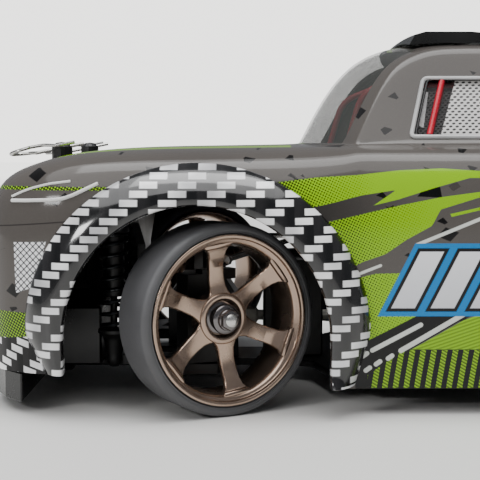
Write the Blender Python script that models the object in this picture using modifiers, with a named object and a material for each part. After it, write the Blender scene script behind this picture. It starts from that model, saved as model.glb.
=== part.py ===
"""Radio-controlled drift car, built as separate pieces that fit and move together.

Frame: metres, +X forward, +Y to the car's left, +Z up.  The origin is on the
ground, under the middle of the car.  The front wheels stand steered to the left.
"""

import math

import bmesh
import bpy
from mathutils import Matrix, Vector

# ---------------------------------------------------------------- driving sizes
HALF_LENGTH = 0.175
AXLE_X = 0.1025            # front axle ahead of, rear axle behind, the origin
WHEEL_RADIUS = 0.031
WHEEL_WIDTH = 0.020
KINGPIN_Y = 0.061          # half the distance between the two steering pivots
TYRE_INNER_OFFSET = 0.0028  # kingpin to the wheel's inner face
STEER_REST = math.radians(28.9)
GAP = 0.0003               # running gap left between pieces that touch

ARCH_RADIUS = 0.042
ARCH_CENTRE_Z = 0.0258
FLARE_RADIUS = 0.0555
FLARE_Y = 0.090
SHELL_THICKNESS = 0.0012
BODY_BOTTOM_Z = 0.014

ARM_PIVOT_Y = 0.020
ARM_PIVOT_Z = 0.012
ARM_HALF_THICKNESS = 0.002
SHOCK_X = 0.133
SHOCK_Y = 0.040
SHOCK_EYE_Z = 0.012
SPRING_BOTTOM_Z = 0.0235
SPRING_TOP_Z = 0.0555
SPRING_RADIUS = 0.0048
SPRING_WIRE = 0.0007
SPRING_TURNS = 8

PLATE_BOTTOM_Z = 0.005
PLATE_TOP_Z = 0.0075
DECK_Z = PLATE_TOP_Z + GAP

CENTRE_SHAFT_Z = 0.022
GEAR_MODULE = 0.00085
SPUR_TEETH = 30
PINION_TEETH = 10
SPUR_X = -0.061
GEAR_WIDTH = 0.004
GEAR_DISTANCE = GEAR_MODULE * (SPUR_TEETH + PINION_TEETH) / 2
MOTOR_LIFT = 0.007         # motor axis above the centre shaft
MOTOR_RADIUS = 0.014

HORN_X = 0.074             # steering servo's output axis
HORN_Z = 0.0465
STEERING_ARM = 0.010       # kingpin to track-rod pin, and horn axis to its pin
TRACK_ROD_Z = 0.0455

CAGE_TOP_Z = 0.1100

POST_X = {1: 0.1505, -1: 0.1460}       # by end of the car: 1 front, -1 rear
POST_Y = 0.040
POST_RADIUS = 0.0036
POST_TOP_Z = {1: 0.0877, -1: 0.0903}
CLIP_Z = {1: 0.0856, -1: 0.0885}      # where the clip's wire crosses the post
CLIP_FALL = {1: 0.20, -1: 0.0}        # how fast the clip falls towards the front


# ------------------------------------------------------------------ scene set-up
def clear_scene():
    """Remove every object that is already in the file."""
    for old in list(bpy.data.objects):
        bpy.data.objects.remove(old, do_unlink=True)


def new_collection(name):
    collection = bpy.data.collections.new(name)
    bpy.context.scene.collection.children.link(collection)
    return collection


clear_scene()
CAR = new_collection("drift_car")
CUTTERS = new_collection("cutters")


def paint(name, colour, roughness, metallic=0.0):
    """One Principled material."""
    material = bpy.data.materials.new(name)
    material.use_nodes = True
    shader = material.node_tree.nodes["Principled BSDF"]
    shader.inputs["Base Color"].default_value = (*colour, 1.0)
    shader.inputs["Roughness"].default_value = roughness
    shader.inputs["Metallic"].default_value = metallic
    return material


SHELL_PAINT = paint("shell_paint", (0.16, 0.15, 0.14), 0.15)
SMOKED_SCREEN = paint("smoked_screen", (0.25, 0.24, 0.23), 0.08)
NET_GREY = paint("window_net", (0.60, 0.60, 0.60), 0.55)
CAGE_RED = paint("cage_red", (0.60, 0.02, 0.02), 0.35)
TRIM_BLACK = paint("trim_black", (0.02, 0.02, 0.02), 0.45)
NYLON = paint("nylon", (0.03, 0.03, 0.03), 0.55)
STEEL = paint("steel", (0.45, 0.45, 0.45), 0.25, 1.0)
SPRING_BLACK = paint("spring_black", (0.02, 0.02, 0.02), 0.35, 0.6)
RUBBER = paint("tyre_rubber", (0.025, 0.025, 0.025), 0.75)
BRONZE = paint("rim_bronze", (0.40, 0.33, 0.27), 0.30, 0.9)
MOTOR_CAN = paint("motor_can", (0.30, 0.30, 0.32), 0.30, 0.9)
BATTERY_WRAP = paint("battery_wrap", (0.05, 0.12, 0.30), 0.40)
GEAR_WHITE = paint("gear_plastic", (0.75, 0.74, 0.70), 0.50)


# -------------------------------------------------------------- modelling helpers
def add_mesh(name, shape, material=None, place=(0, 0, 0), turn=(0, 0, 0), parent=None,
             collection=None):
    """Turn a bmesh into a named object."""
    bmesh.ops.recalc_face_normals(shape, faces=shape.faces)
    mesh = bpy.data.meshes.new(name)
    shape.to_mesh(mesh)
    shape.free()
    piece = bpy.data.objects.new(name, mesh)
    piece.location = place
    piece.rotation_euler = turn
    piece.parent = parent
    if material:
        mesh.materials.append(material)
    (collection or CAR).objects.link(piece)
    return piece


def pivot(name, place, parent=None, turn_z=0.0):
    """An empty on a joint's axis."""
    empty = bpy.data.objects.new(name, None)
    empty.location = place
    empty.rotation_euler.z = turn_z
    empty.parent = parent
    empty.empty_display_size = 0.01
    CAR.objects.link(empty)
    return empty


def block(low, high):
    """A box between two corners, as a bmesh."""
    shape = bmesh.new()
    size = Vector(high) - Vector(low)
    middle = (Vector(high) + Vector(low)) / 2
    bmesh.ops.create_cube(shape, size=1.0, matrix=Matrix.Translation(middle) @ Matrix.Diagonal((*size, 1.0)))
    return shape


def prism(outline, low, high, axis="Z"):
    """A flat outline drawn through its thickness, as a bmesh.

    The outline is in XY for axis Z, in YZ for axis X and in XZ for axis Y.
    """
    place = {
        "X": lambda a, b: (low, a, b),
        "Y": lambda a, b: (a, low, b),
        "Z": lambda a, b: (a, b, low),
    }[axis]
    direction = {"X": Vector((1, 0, 0)), "Y": Vector((0, 1, 0)), "Z": Vector((0, 0, 1))}[axis]
    shape = bmesh.new()
    face = shape.faces.new([shape.verts.new(place(a, b)) for a, b in outline])
    grown = bmesh.ops.extrude_face_region(shape, geom=[face])["geom"]
    far_side = [v for v in grown if isinstance(v, bmesh.types.BMVert)]
    bmesh.ops.translate(shape, vec=direction * (high - low), verts=far_side)
    return shape


def both_sides(half):
    """Close an outline given for +Y, front to back, with its mirror image."""
    return half + [(x, -y) for x, y in reversed(half)]


def bevelled(piece, width, segments=1):
    bevel = piece.modifiers.new("edge", "BEVEL")
    bevel.width = width
    bevel.segments = segments
    bevel.limit_method = "ANGLE"
    return piece


def turned(name, profile, segments, material=None, place=(0, 0, 0), turn=(0, 0, 0), parent=None, closed=False,
           collection=None):
    """A turned shape about its own Z, from (radius, height) points, top to bottom outside."""
    shape = bmesh.new()
    points = [shape.verts.new((radius, 0, height)) for radius, height in profile]
    for first, second in zip(points, points[1:]):
        shape.edges.new((first, second))
    if closed:
        shape.edges.new((points[-1], points[0]))
    piece = add_mesh(name, shape, material, place, turn, parent, collection)
    screw = piece.modifiers.new("turn", "SCREW")
    screw.steps = segments
    screw.render_steps = segments
    screw.use_merge_vertices = True
    screw.merge_threshold = 1e-6
    return piece


def tube(name, points, radius, material, sides=1, closed=False, parent=None):
    """A round wire through points, with filled ends."""
    curve = bpy.data.curves.new(name, "CURVE")
    curve.dimensions = "3D"
    curve.bevel_depth = radius
    curve.bevel_resolution = sides
    curve.use_fill_caps = True
    spline = curve.splines.new("POLY")
    spline.points.add(len(points) - 1)
    for point, place in zip(spline.points, points):
        point.co = (*place, 1.0)
    spline.use_cyclic_u = closed
    curve.materials.append(material)
    piece = bpy.data.objects.new(name, curve)
    piece.parent = parent
    CAR.objects.link(piece)
    return piece


def as_mesh(piece):
    """Make a curve or a modified object a plain closed mesh, so that it can be cut or joined."""
    bpy.context.view_layer.update()
    depsgraph = bpy.context.evaluated_depsgraph_get()
    mesh = bpy.data.meshes.new_from_object(piece.evaluated_get(depsgraph), depsgraph=depsgraph)
    shape = bmesh.new()
    shape.from_mesh(mesh)
    bmesh.ops.remove_doubles(shape, verts=shape.verts, dist=1e-6)
    bmesh.ops.recalc_face_normals(shape, faces=shape.faces)
    shape.to_mesh(mesh)
    shape.free()
    solid = bpy.data.objects.new(piece.name + "_solid", mesh)
    solid.matrix_world = piece.matrix_world.copy()
    home = piece.users_collection[0]
    home.objects.link(solid)
    name = piece.name
    bpy.data.objects.remove(piece, do_unlink=True)
    solid.name = name
    return solid


def combine(piece, tool, operation):
    """Cut, join or trim a piece by a tool, at once, and remove the tool."""
    boolean = piece.modifiers.new(operation.lower(), "BOOLEAN")
    boolean.operation = operation
    boolean.object = tool
    boolean.solver = "EXACT"
    bpy.context.view_layer.update()
    depsgraph = bpy.context.evaluated_depsgraph_get()
    mesh = bpy.data.meshes.new_from_object(piece.evaluated_get(depsgraph), depsgraph=depsgraph)
    piece.modifiers.clear()
    piece.data = mesh
    bpy.data.objects.remove(tool, do_unlink=True)
    return piece


def join_all(piece, tools):
    for tool in tools:
        combine(piece, tool, "UNION")
    return piece


def smooth(piece, angle=35):
    piece.data.shade_smooth()
    piece.data.set_sharp_from_angle(angle=math.radians(angle))
    return piece


def rod_between(name, start, end, profile, segments, material, parent=None):
    """A turned bar laid from one point to another."""
    start = Vector(start)
    end = Vector(end)
    direction = end - start
    turn = direction.to_track_quat("Z", "Y").to_euler()
    return turned(name, profile, segments, material, start, turn, parent)


# -------------------------------------------------------------------- body shell
def between(x, stops):
    """Value at x of a line through (x, value) stops, which run from front to back."""
    if x >= stops[0][0]:
        return stops[0][1]
    for (x0, v0), (x1, v1) in zip(stops, stops[1:]):
        if x >= x1:
            t = (x0 - x) / (x0 - x1)
            return v0 + (v1 - v0) * t
    return stops[-1][1]


# Centre-line height of the cabin, then of the bonnet and boot, along the car.
CABIN_HEIGHT = [(0.067, 0.0865), (0.061, 0.0990), (0.0548, 0.1088), (0.048, 0.1161), (0.0415, 0.1198),
                (0.034, 0.1221), (0.020, 0.1231), (0.000, 0.1232), (-0.025, 0.1217), (-0.045, 0.1171),
                (-0.070, 0.1045), (-0.092, 0.0915), (-0.098, 0.0880)]
DECK_HEIGHT = [(0.175, 0.058), (0.173, 0.068), (0.168, 0.0762), (0.160, 0.0806), (0.148, 0.0846),
               (0.130, 0.0866), (0.067, 0.0872), (-0.154, 0.0872), (-0.168, 0.0925),
               (-0.172, 0.0925), (-0.175, 0.084)]
SIDE_WIDTH = [(0.175, 0.050), (0.173, 0.061), (0.168, 0.072), (0.160, 0.079), (0.148, 0.0838),
              (0.130, 0.086), (0.075, 0.086), (0.050, 0.0815), (-0.050, 0.0815), (-0.075, 0.0865),
              (-0.140, 0.0865), (-0.160, 0.083), (-0.170, 0.077), (-0.175, 0.068)]
SHOULDER_WIDTH = [(0.175, 0.042), (0.173, 0.052), (0.168, 0.061), (0.160, 0.066), (0.148, 0.070),
                  (0.130, 0.071), (0.067, 0.070), (-0.098, 0.070), (-0.140, 0.072), (-0.170, 0.068),
                  (-0.175, 0.062)]
BOTTOM_HEIGHT = [(0.175, BODY_BOTTOM_Z), (0.070, BODY_BOTTOM_Z), (0.062, 0.0097), (0.050, 0.0085),
                 (-0.050, 0.0085), (-0.062, 0.0097), (-0.070, 0.018), (-0.175, 0.018)]
SCREEN_BOW = [(0.110, 0.0), (0.067, 0.0155), (0.041, 0.0155), (0.020, 0.006), (0.000, 0.0),
              (-0.045, -0.006), (-0.070, -0.012), (-0.098, -0.012), (-0.125, 0.0)]
CABIN_BASE_Y = 0.068
CABIN_BASE_Z = 0.0868
CABIN_LEAN = 15 / 29       # how far the side glass leans in for each unit up
ROOF_CROWN = 0.0035
RAIL_HALF_WIDTH = 0.043
SECTION_STATIONS = [0.175, 0.173, 0.168, 0.160, 0.148, 0.130, 0.100, 0.0745, 0.067, 0.061, 0.0548, 0.048,
                    0.0415, 0.034, 0.020, -0.005, -0.045, -0.058, -0.081, -0.098, -0.125, -0.154, -0.162,
                    -0.168, -0.172, -0.175]


def cabin_edge(crown):
    """Where the roof or glass, with this centre-line height, meets the leaning side glass."""
    y = 0.053
    for _ in range(12):
        z = crown - ROOF_CROWN * (y / 0.053) ** 2
        y = CABIN_BASE_Y - max(0.0, z - CABIN_BASE_Z) * CABIN_LEAN
    return y, z


def section(station):
    """Points of half a cross-section, from the centre line out and down to the sill."""
    deck = between(station, DECK_HEIGHT)
    crown = max(between(station, CABIN_HEIGHT) if -0.098 <= station <= 0.067 else 0.0, deck)
    shoulder_y = between(station, SHOULDER_WIDTH)
    raised = crown > deck + 0.004
    if raised:
        edge_y, edge_z = cabin_edge(crown)
        base_y, base_z = CABIN_BASE_Y, max(deck - 0.0004, 0.0)
    else:
        edge_y, edge_z = shoulder_y * 0.74, crown - 0.0004
        base_y, base_z = shoulder_y * 0.95, crown - 0.0010
    bow = between(station, SCREEN_BOW)
    side_x = station - bow
    side_y = between(side_x, SIDE_WIDTH)
    low_z = between(side_x, BOTTOM_HEIGHT)
    top_z = deck - 0.0165 if station < 0.170 else deck - 0.012
    sill_y = side_y - (0.0035 if abs(side_x) < 0.055 else 0.0005)
    points = [(0.0, crown), (edge_y * 0.55, crown - 0.3 * (crown - edge_z)),
              (edge_y * 0.9, crown - 0.8 * (crown - edge_z)),
              (edge_y, edge_z - 0.0005), (base_y, base_z),
              (shoulder_y + 0.25 * (side_y - shoulder_y), base_z - 0.0012),
              (shoulder_y + 0.75 * (side_y - shoulder_y), base_z - 0.0065), (side_y - 0.0004, top_z),
              (side_y, low_z + 0.45 * (top_z - low_z)), (sill_y, low_z)]
    return [(station - bow * min(1.0, (y / CABIN_BASE_Y) ** 2), y, z) for y, z in points]


def shell_surface():
    """The open outer surface of the body, both halves, as a bmesh."""
    shape = bmesh.new()
    rows = [[shape.verts.new(point) for point in section(station)] for station in SECTION_STATIONS]
    for row, following in zip(rows, rows[1:]):
        for index in range(len(row) - 1):
            shape.faces.new((row[index], row[index + 1], following[index + 1], following[index]))
    for row in (rows[0], rows[-1]):
        foot = shape.verts.new((row[0].co.x, 0.0, row[-1].co.z))
        shape.faces.new([*row, foot])
    whole = shape.verts[:] + shape.edges[:] + shape.faces[:]
    bmesh.ops.mirror(shape, geom=whole, axis="Y", merge_dist=1e-6)
    bmesh.ops.remove_doubles(shape, verts=shape.verts, dist=1e-6)
    bmesh.ops.recalc_face_normals(shape, faces=shape.faces)
    highest = max(shape.faces, key=lambda face: face.calc_center_median().z)
    highest.normal_update()
    if highest.normal.z < 0:
        bmesh.ops.reverse_faces(shape, faces=shape.faces)
    return shape


def shell_layer(name, depth, thickness, material):
    """A sheet that follows the body's outer surface, starting some depth below it."""
    shape = shell_surface()
    shape.normal_update()
    for vertex in shape.verts:
        vertex.co -= vertex.normal * depth * vertex.calc_shell_factor()
    mesh = bpy.data.meshes.new(name)
    shape.to_mesh(mesh)
    shape.free()
    piece = bpy.data.objects.new(name, mesh)
    mesh.materials.append(material)
    CAR.objects.link(piece)
    wall = piece.modifiers.new("wall", "SOLIDIFY")
    wall.thickness = thickness
    wall.offset = -1.0
    wall.use_even_offset = True
    return piece


def arch_tool(name, x, radius, low_z):
    """A wheel arch's round-topped outline, drawn right across the car."""
    arc = [(x + radius * math.cos(math.pi * i / 20), ARCH_CENTRE_Z + radius * math.sin(math.pi * i / 20))
           for i in range(21)]
    outline = [(x + radius, low_z), *arc, (x - radius, low_z)]
    return add_mesh(name, prism(outline, -0.12, 0.12, "Y"), collection=CUTTERS)


def flare(name, x, side):
    """The raised band round one wheel arch, as a solid ring before the arch is cut."""
    angles = [math.pi * i / 16 for i in range(17)]
    arc = [(x + FLARE_RADIUS * math.cos(a), ARCH_CENTRE_Z + FLARE_RADIUS * math.sin(a)) for a in angles]
    front = [(x + 0.046, BODY_BOTTOM_Z + 0.001), (x + 0.049, ARCH_CENTRE_Z + 0.010)]
    back = [(x - 0.0535, ARCH_CENTRE_Z), (x - 0.0515, 0.0105)]
    if x < 0:
        front = [(x + 0.0515, 0.0105), (x + 0.0535, ARCH_CENTRE_Z)]
        back = [(x - 0.049, ARCH_CENTRE_Z + 0.010), (x - 0.046, 0.019)]
    outline = front + arc[2:-1] + back
    low, high = sorted((side * 0.0848, side * FLARE_Y))
    piece = add_mesh(name, prism(outline, low, high, "Y"))
    return bevelled(piece, 0.0018)


def window_tools(margin):
    """The openings for the screens and side windows, grown by a margin."""
    screen = [(0.0720, 0.0895 - margin), (0.0720, 0.1185 + margin), (0.0200, 0.1185 + margin),
              (0.0100, 0.0895 - margin)]
    screen_shape = prism(screen, -0.0485 - margin, 0.0485 + margin, "Y")
    tools = [add_mesh("screen_tool", screen_shape, collection=CUTTERS)]
    rear = [(-0.020, 0.094 - margin), (-0.040, 0.1135 + margin), (-0.060, 0.1135 + margin),
            (-0.094 - margin, 0.094 - margin)]
    tools.append(add_mesh("rear_tool", prism(rear, -0.046 - margin, 0.046 + margin, "Y"), collection=CUTTERS))
    side = [(0.0335 + margin, 0.0895 - margin), (0.0275 + margin, 0.1085 + margin),
            (-0.034 - margin, 0.1085 + margin), (-0.052 - margin, 0.0895 - margin)]
    tools.append(add_mesh("left_tool", prism(side, 0.0515, 0.080, "Y"), collection=CUTTERS))
    tools.append(add_mesh("right_tool", prism(side, -0.080, -0.0515, "Y"), collection=CUTTERS))
    return tools


def build_body():
    """The moulded shell with its arches, windows and post holes."""
    body = as_mesh(shell_layer("body_shell", 0.0, SHELL_THICKNESS, SHELL_PAINT))
    flares = [as_mesh(flare("flare", x, side)) for x in (AXLE_X, -AXLE_X) for side in (1, -1)]
    join_all(body, flares)
    combine(body, arch_tool("front_arch", AXLE_X, ARCH_RADIUS, 0.0), "DIFFERENCE")
    combine(body, arch_tool("rear_arch", -AXLE_X, ARCH_RADIUS, 0.0), "DIFFERENCE")
    for tool in window_tools(0.0):
        combine(body, tool, "DIFFERENCE")
    for end in (1, -1):
        for y in (POST_Y, -POST_Y):
            hole_radius = POST_RADIUS + 2 * GAP
            profile = [(0, 0.10), (hole_radius, 0.10), (hole_radius, 0.07), (0, 0.07)]
            hole = turned("hole", profile, 12, place=(end * POST_X[end], y, 0), collection=CUTTERS)
            combine(body, as_mesh(hole), "DIFFERENCE")
    return body


def build_windows():
    """Four thin panes fixed behind the shell's openings."""
    names = ["windscreen", "rear_window", "left_window_net", "right_window_net"]
    finishes = [SMOKED_SCREEN, SMOKED_SCREEN, NET_GREY, NET_GREY]
    for name, finish, tool in zip(names, finishes, window_tools(0.0015)):
        pane = as_mesh(shell_layer(name, SHELL_THICKNESS + 2 * GAP, 0.0007, finish))
        combine(pane, tool, "INTERSECT")


def build_roll_cage():
    """Red tubular cage inside the cabin, one welded frame."""
    radius = 0.0015
    bars = []
    for side in (1, -1):
        bars.append([(0.052, side * 0.042, 0.084), (0.0455, side * 0.041, 0.1030),
                     (0.028, side * 0.040, CAGE_TOP_Z), (-0.030, side * 0.040, CAGE_TOP_Z),
                     (-0.036, side * 0.046, 0.080)])
        bars.append([(0.0265, side * 0.0545, 0.086), (0.0200, side * 0.0400, CAGE_TOP_Z)])
    bars.append([(0.028, -0.0405, CAGE_TOP_Z), (0.028, 0.0405, CAGE_TOP_Z)])
    bars.append([(-0.030, -0.0405, CAGE_TOP_Z), (-0.030, 0.0405, CAGE_TOP_Z)])
    bars.append([(0.052, -0.0425, 0.084), (0.052, 0.0425, 0.084)])
    bars.append([(-0.036, -0.0465, 0.080), (-0.036, 0.0465, 0.080)])
    tubes = [as_mesh(tube(f"bar_{i}", points, radius, CAGE_RED, sides=1)) for i, points in enumerate(bars)]
    cage = join_all(tubes[0], tubes[1:])
    cage.name = "roll_cage"
    return cage


def build_roof_rail():
    """Raised black strip across the front of the roof."""
    outline = [(0.0310, 0.1231), (0.0290, 0.1252), (0.0255, 0.1262), (0.010, 0.1262), (0.000, 0.1254),
               (-0.004, 0.1246), (-0.003, 0.1238), (0.010, 0.1238), (0.020, 0.1237)]
    shape = bmesh.new()
    sections = []
    for step in range(-4, 5):
        y = RAIL_HALF_WIDTH * step / 4
        drop = ROOF_CROWN * (y / 0.053) ** 2
        sections.append([shape.verts.new((x, y, z - drop * (1.0 if z < 0.1240 else 0.4)))
                         for x, z in outline])
    shape.faces.new(sections[0])
    shape.faces.new(reversed(sections[-1]))
    for first, second in zip(sections, sections[1:]):
        for i in range(len(outline)):
            j = (i + 1) % len(outline)
            shape.faces.new((first[j], first[i], second[i], second[j]))
    bmesh.ops.recalc_face_normals(shape, faces=shape.faces)
    return add_mesh("roof_rail", shape, TRIM_BLACK)


# ----------------------------------------------------------------------- chassis
def build_bumpers():
    """Front bumper lip and rear diffuser, screwed to the ends of the chassis plate."""
    front = [(0.174, 0.0), (0.174, 0.040), (0.1715, 0.055), (0.166, 0.068), (0.1593, 0.076), (0.159, 0.020),
             (0.1505, 0.014)]
    piece = add_mesh("front_bumper", prism(both_sides(front), 0.0033, BODY_BOTTOM_Z - GAP), TRIM_BLACK)
    brace = block((0.1385, -0.030, DECK_Z), (0.1660, 0.030, 0.0290))
    combine(piece, add_mesh("brace", brace, collection=CUTTERS), "UNION")
    bevelled(piece, 0.0008)
    rear = [(-0.1505, 0.014), (-0.156, 0.030), (-0.156, 0.066), (-0.168, 0.066), (-0.174, 0.058)]
    piece = add_mesh("rear_diffuser", prism(both_sides(rear), 0.006, 0.018 - GAP), TRIM_BLACK)
    bevelled(piece, 0.0008)


def build_chassis_plate():
    half = [(0.150, 0.014), (0.070, 0.014), (0.062, 0.020), (0.056, 0.046), (0.048, 0.058), (-0.048, 0.058),
            (-0.056, 0.046), (-0.062, 0.020), (-0.070, 0.014), (-0.150, 0.014)]
    plate = add_mesh("chassis_plate", prism(both_sides(half), PLATE_BOTTOM_Z, PLATE_TOP_Z), NYLON)
    return bevelled(plate, 0.0005)


def build_tower(name, end):
    """Shock tower with the two body posts that stand on its arms."""
    face = end * (SHOCK_X - 0.0062)
    back = face - end * 0.003
    half = [(0.014, DECK_Z), (0.014, 0.050), (0.044, 0.060), (0.046, 0.066), (0.044, 0.070), (0.010, 0.070)]
    outline = half + [(-y, z) for y, z in reversed(half)]
    low, high = sorted((face, back))
    tower = add_mesh(name, prism(outline, low, high, "X"), NYLON)
    for side in (1, -1):
        x0, x1 = sorted((back, end * (POST_X[end] + 0.003)))
        y0, y1 = sorted((side * (POST_Y - 0.003 - 0.012), side * (POST_Y + 0.003 - 0.008)))
        arm = block((x0, y0, 0.0705 - 0.004), (x1, y1, 0.0705))
        combine(tower, add_mesh("arm", arm), "UNION")
        x0, x1 = sorted((end * (POST_X[end] - 0.0045), end * (POST_X[end] + 0.003)))
        y0, y1 = sorted((side * 0.026, side * (POST_Y + 0.003)))
        foot = block((x0, y0, 0.0665), (x1, y1, 0.0705))
        combine(tower, add_mesh("foot", foot), "UNION")
        top = POST_TOP_Z[end]
        dome = [(0, top), (0.0020, top - 0.0003), (POST_RADIUS, top - 0.0016), (POST_RADIUS, 0.068),
                (0, 0.068)]
        post = turned("post", dome, 16, place=(end * POST_X[end], side * POST_Y, 0))
        combine(tower, as_mesh(post), "UNION")
        bore = turned("bore", [(0, 0.01), (0.0010, 0.01), (0.0010, -0.01), (0, -0.01)], 8,
                      place=(end * POST_X[end], side * POST_Y, CLIP_Z[end]),
                      turn=(0, math.pi / 2 + math.atan(CLIP_FALL[end]), 0), collection=CUTTERS)
        combine(tower, as_mesh(bore), "DIFFERENCE")
    return tower


def build_clip(name, end, side):
    """R-shaped spring clip through a body post, with its ring towards the front of the car."""
    x = end * POST_X[end]
    y = side * POST_Y
    wire = 0.0006
    ring_x = x + 0.0135
    ring = 0.0042
    flat = [(x - 0.0075, y, 0.0), (x + 0.0085, y, 0.0)]
    for i in range(1, 13):
        angle = math.pi - 2 * math.pi * i / 14
        flat.append((ring_x + ring * math.cos(angle), y - side * ring * math.sin(angle), 0.0002 * i))
    flat.append((x + 0.006, y + side * 0.0026, 0.0022))
    flat.append((x + 0.001, y + side * 0.0053, 0.0010))
    flat.append((x - 0.005, y + side * 0.0050, 0.0010))
    points = [(px, py, CLIP_Z[end] + rise - CLIP_FALL[end] * (px - x)) for px, py, rise in flat]
    return tube(name, points, wire, STEEL, sides=0)


def build_gearboxes():
    for name, end in (("front_gearbox", 1), ("rear_gearbox", -1)):
        x = end * AXLE_X
        half = [(-0.013, DECK_Z), (-0.013, 0.030), (-0.008, 0.038), (0.008, 0.038), (0.013, 0.030),
                (0.013, DECK_Z)]
        case = add_mesh(name, prism([(x + dx, z) for dx, z in half], -0.0125, 0.0125, "Y"), NYLON)
        cups = turned("cups", [(0, 0.0158), (0.0042, 0.0158), (0.0042, -0.0158), (0, -0.0158)], 12,
                      place=(x, 0, CENTRE_SHAFT_Z + 0.004), turn=(math.pi / 2, 0, 0))
        combine(case, as_mesh(cups), "UNION")
        bevelled(case, 0.0006)


def gear_outline(teeth, module, phase=0.0):
    """Tooth flanks as a flat outline about the gear's own centre."""
    pitch = module * teeth / 2
    root = pitch - 1.15 * module
    tip = pitch + 0.8 * module
    step = 2 * math.pi / teeth
    outline = []
    for tooth in range(teeth):
        for radius, part in ((root, -0.27), (tip, -0.12), (tip, 0.12), (root, 0.27)):
            angle = (tooth + part) * step + phase
            outline.append((radius * math.cos(angle), radius * math.sin(angle)))
    return outline


def build_drivetrain():
    """Centre shaft with its spur gear, and the motor with its pinion and mount."""
    lateral = math.sqrt(GEAR_DISTANCE ** 2 - MOTOR_LIFT ** 2)
    motor_z = CENTRE_SHAFT_Z + MOTOR_LIFT
    towards = math.atan2(MOTOR_LIFT, lateral)
    shaft_pivot = pivot("centre_shaft_axis", (0, 0, CENTRE_SHAFT_Z))
    gear_low = SPUR_X - GEAR_WIDTH / 2
    gear_high = SPUR_X + GEAR_WIDTH / 2
    spur_shape = prism(gear_outline(SPUR_TEETH, GEAR_MODULE, towards), gear_low, gear_high, "X")
    spur = add_mesh("centre_shaft", spur_shape, GEAR_WHITE, parent=shaft_pivot)
    end = AXLE_X - 0.0136
    rod = turned("rod", [(0, end), (0.0034, end), (0.0034, end - 0.006), (0.0020, end - 0.007),
                         (0.0020, 0.007 - end), (0.0034, 0.006 - end), (0.0034, -end), (0, -end)], 8,
                 turn=(0, math.pi / 2, 0), parent=shaft_pivot)
    combine(spur, as_mesh(rod), "UNION")

    axis = pivot("motor_axis", (0, lateral, motor_z))
    half_tooth = math.pi / PINION_TEETH
    pinion_outline = gear_outline(PINION_TEETH, GEAR_MODULE, math.pi + towards + half_tooth)
    gear = add_mesh("pinion_gear", prism(pinion_outline, gear_low, gear_high, "X"), STEEL, parent=axis)
    shaft = turned("shaft", [(0, -0.046), (0.0011, -0.046), (0.0011, -0.0640), (0, -0.0640)], 10,
                   turn=(0, math.pi / 2, 0), parent=axis)
    combine(gear, as_mesh(shaft), "UNION")

    can = [(0, -0.018), (0.005, -0.018), (0.006, -0.0205), (0.0128, -0.0212), (MOTOR_RADIUS, -0.0230),
           (MOTOR_RADIUS, -0.0530), (0.0120, -0.0545), (0.0014, -0.0545), (0.0014, -0.0440), (0, -0.0440)]
    smooth(turned("motor", can, 16, MOTOR_CAN, (0, lateral, motor_z), (0, math.pi / 2, 0)))

    plate = block((-0.0570, 0.0045, DECK_Z), (-0.0548, 0.0300, motor_z + 0.012))
    mount = add_mesh("motor_mount", plate, NYLON)
    hole = turned("hole", [(0, 0.01), (0.0020, 0.01), (0.0020, -0.01), (0, -0.01)], 12,
                  place=(-0.056, lateral, motor_z), turn=(0, math.pi / 2, 0), collection=CUTTERS)
    combine(mount, as_mesh(hole), "DIFFERENCE")


def build_electronics():
    """Battery, speed controller and steering servo on the chassis plate."""
    battery = block((-0.050, -0.050, DECK_Z), (0.050, -0.016, 0.031))
    bevelled(add_mesh("battery_pack", battery, BATTERY_WRAP), 0.002, 2)
    controller = block((-0.008, 0.016, DECK_Z), (0.032, 0.046, 0.024))
    bevelled(add_mesh("speed_controller", controller, NYLON), 0.001)
    saddle = [(0.010, DECK_Z), (0.010, 0.0445), (-0.010, 0.0445), (-0.010, DECK_Z), (-0.006, DECK_Z),
              (-0.006, 0.027), (0.006, 0.027), (0.006, DECK_Z)]
    servo = add_mesh("steering_servo", prism(saddle, 0.058, 0.080, "X"), NYLON)
    bevelled(servo, 0.0006)


# ---------------------------------------------------------------------- steering
def build_servo_horn():
    """Horn on the servo's output shaft, turned with the wheels."""
    axis = pivot("servo_horn_axis", (HORN_X, 0, HORN_Z), turn_z=STEER_REST)
    outline = [(0.004 * math.cos(a), 0.004 * math.sin(a)) for a in
               [math.radians(d) for d in range(-120, 121, 30)]]
    outline += [(-STEERING_ARM - 0.002, 0.002), (-STEERING_ARM - 0.002, -0.002)]
    horn = add_mesh("servo_horn", prism(outline, -0.0014, 0.0006), NYLON, parent=axis)
    return horn


def build_track_rod(name, side):
    """Track rod from a knuckle's steering arm towards the horn."""
    pin_x = AXLE_X - STEERING_ARM * math.cos(STEER_REST)
    pin_y = side * KINGPIN_Y - STEERING_ARM * math.sin(STEER_REST)
    inner_x = HORN_X - STEERING_ARM * math.cos(STEER_REST)
    inner_y = -STEERING_ARM * math.sin(STEER_REST)
    outer = Vector((pin_x, pin_y, TRACK_ROD_Z + 0.0026))
    inner = Vector((inner_x, inner_y, TRACK_ROD_Z + 0.0062))
    length = (inner - outer).length - 0.005
    ball = 0.0021
    neck = 0.0011
    profile = [(0, length), (ball, length - 0.0012), (ball, length - 0.0032), (neck, length - 0.0045),
               (neck, 0.0025), (ball, 0.0012), (ball, -0.0010), (0, -0.0020)]
    return rod_between(name, outer, inner, profile, 8, STEEL)


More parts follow.
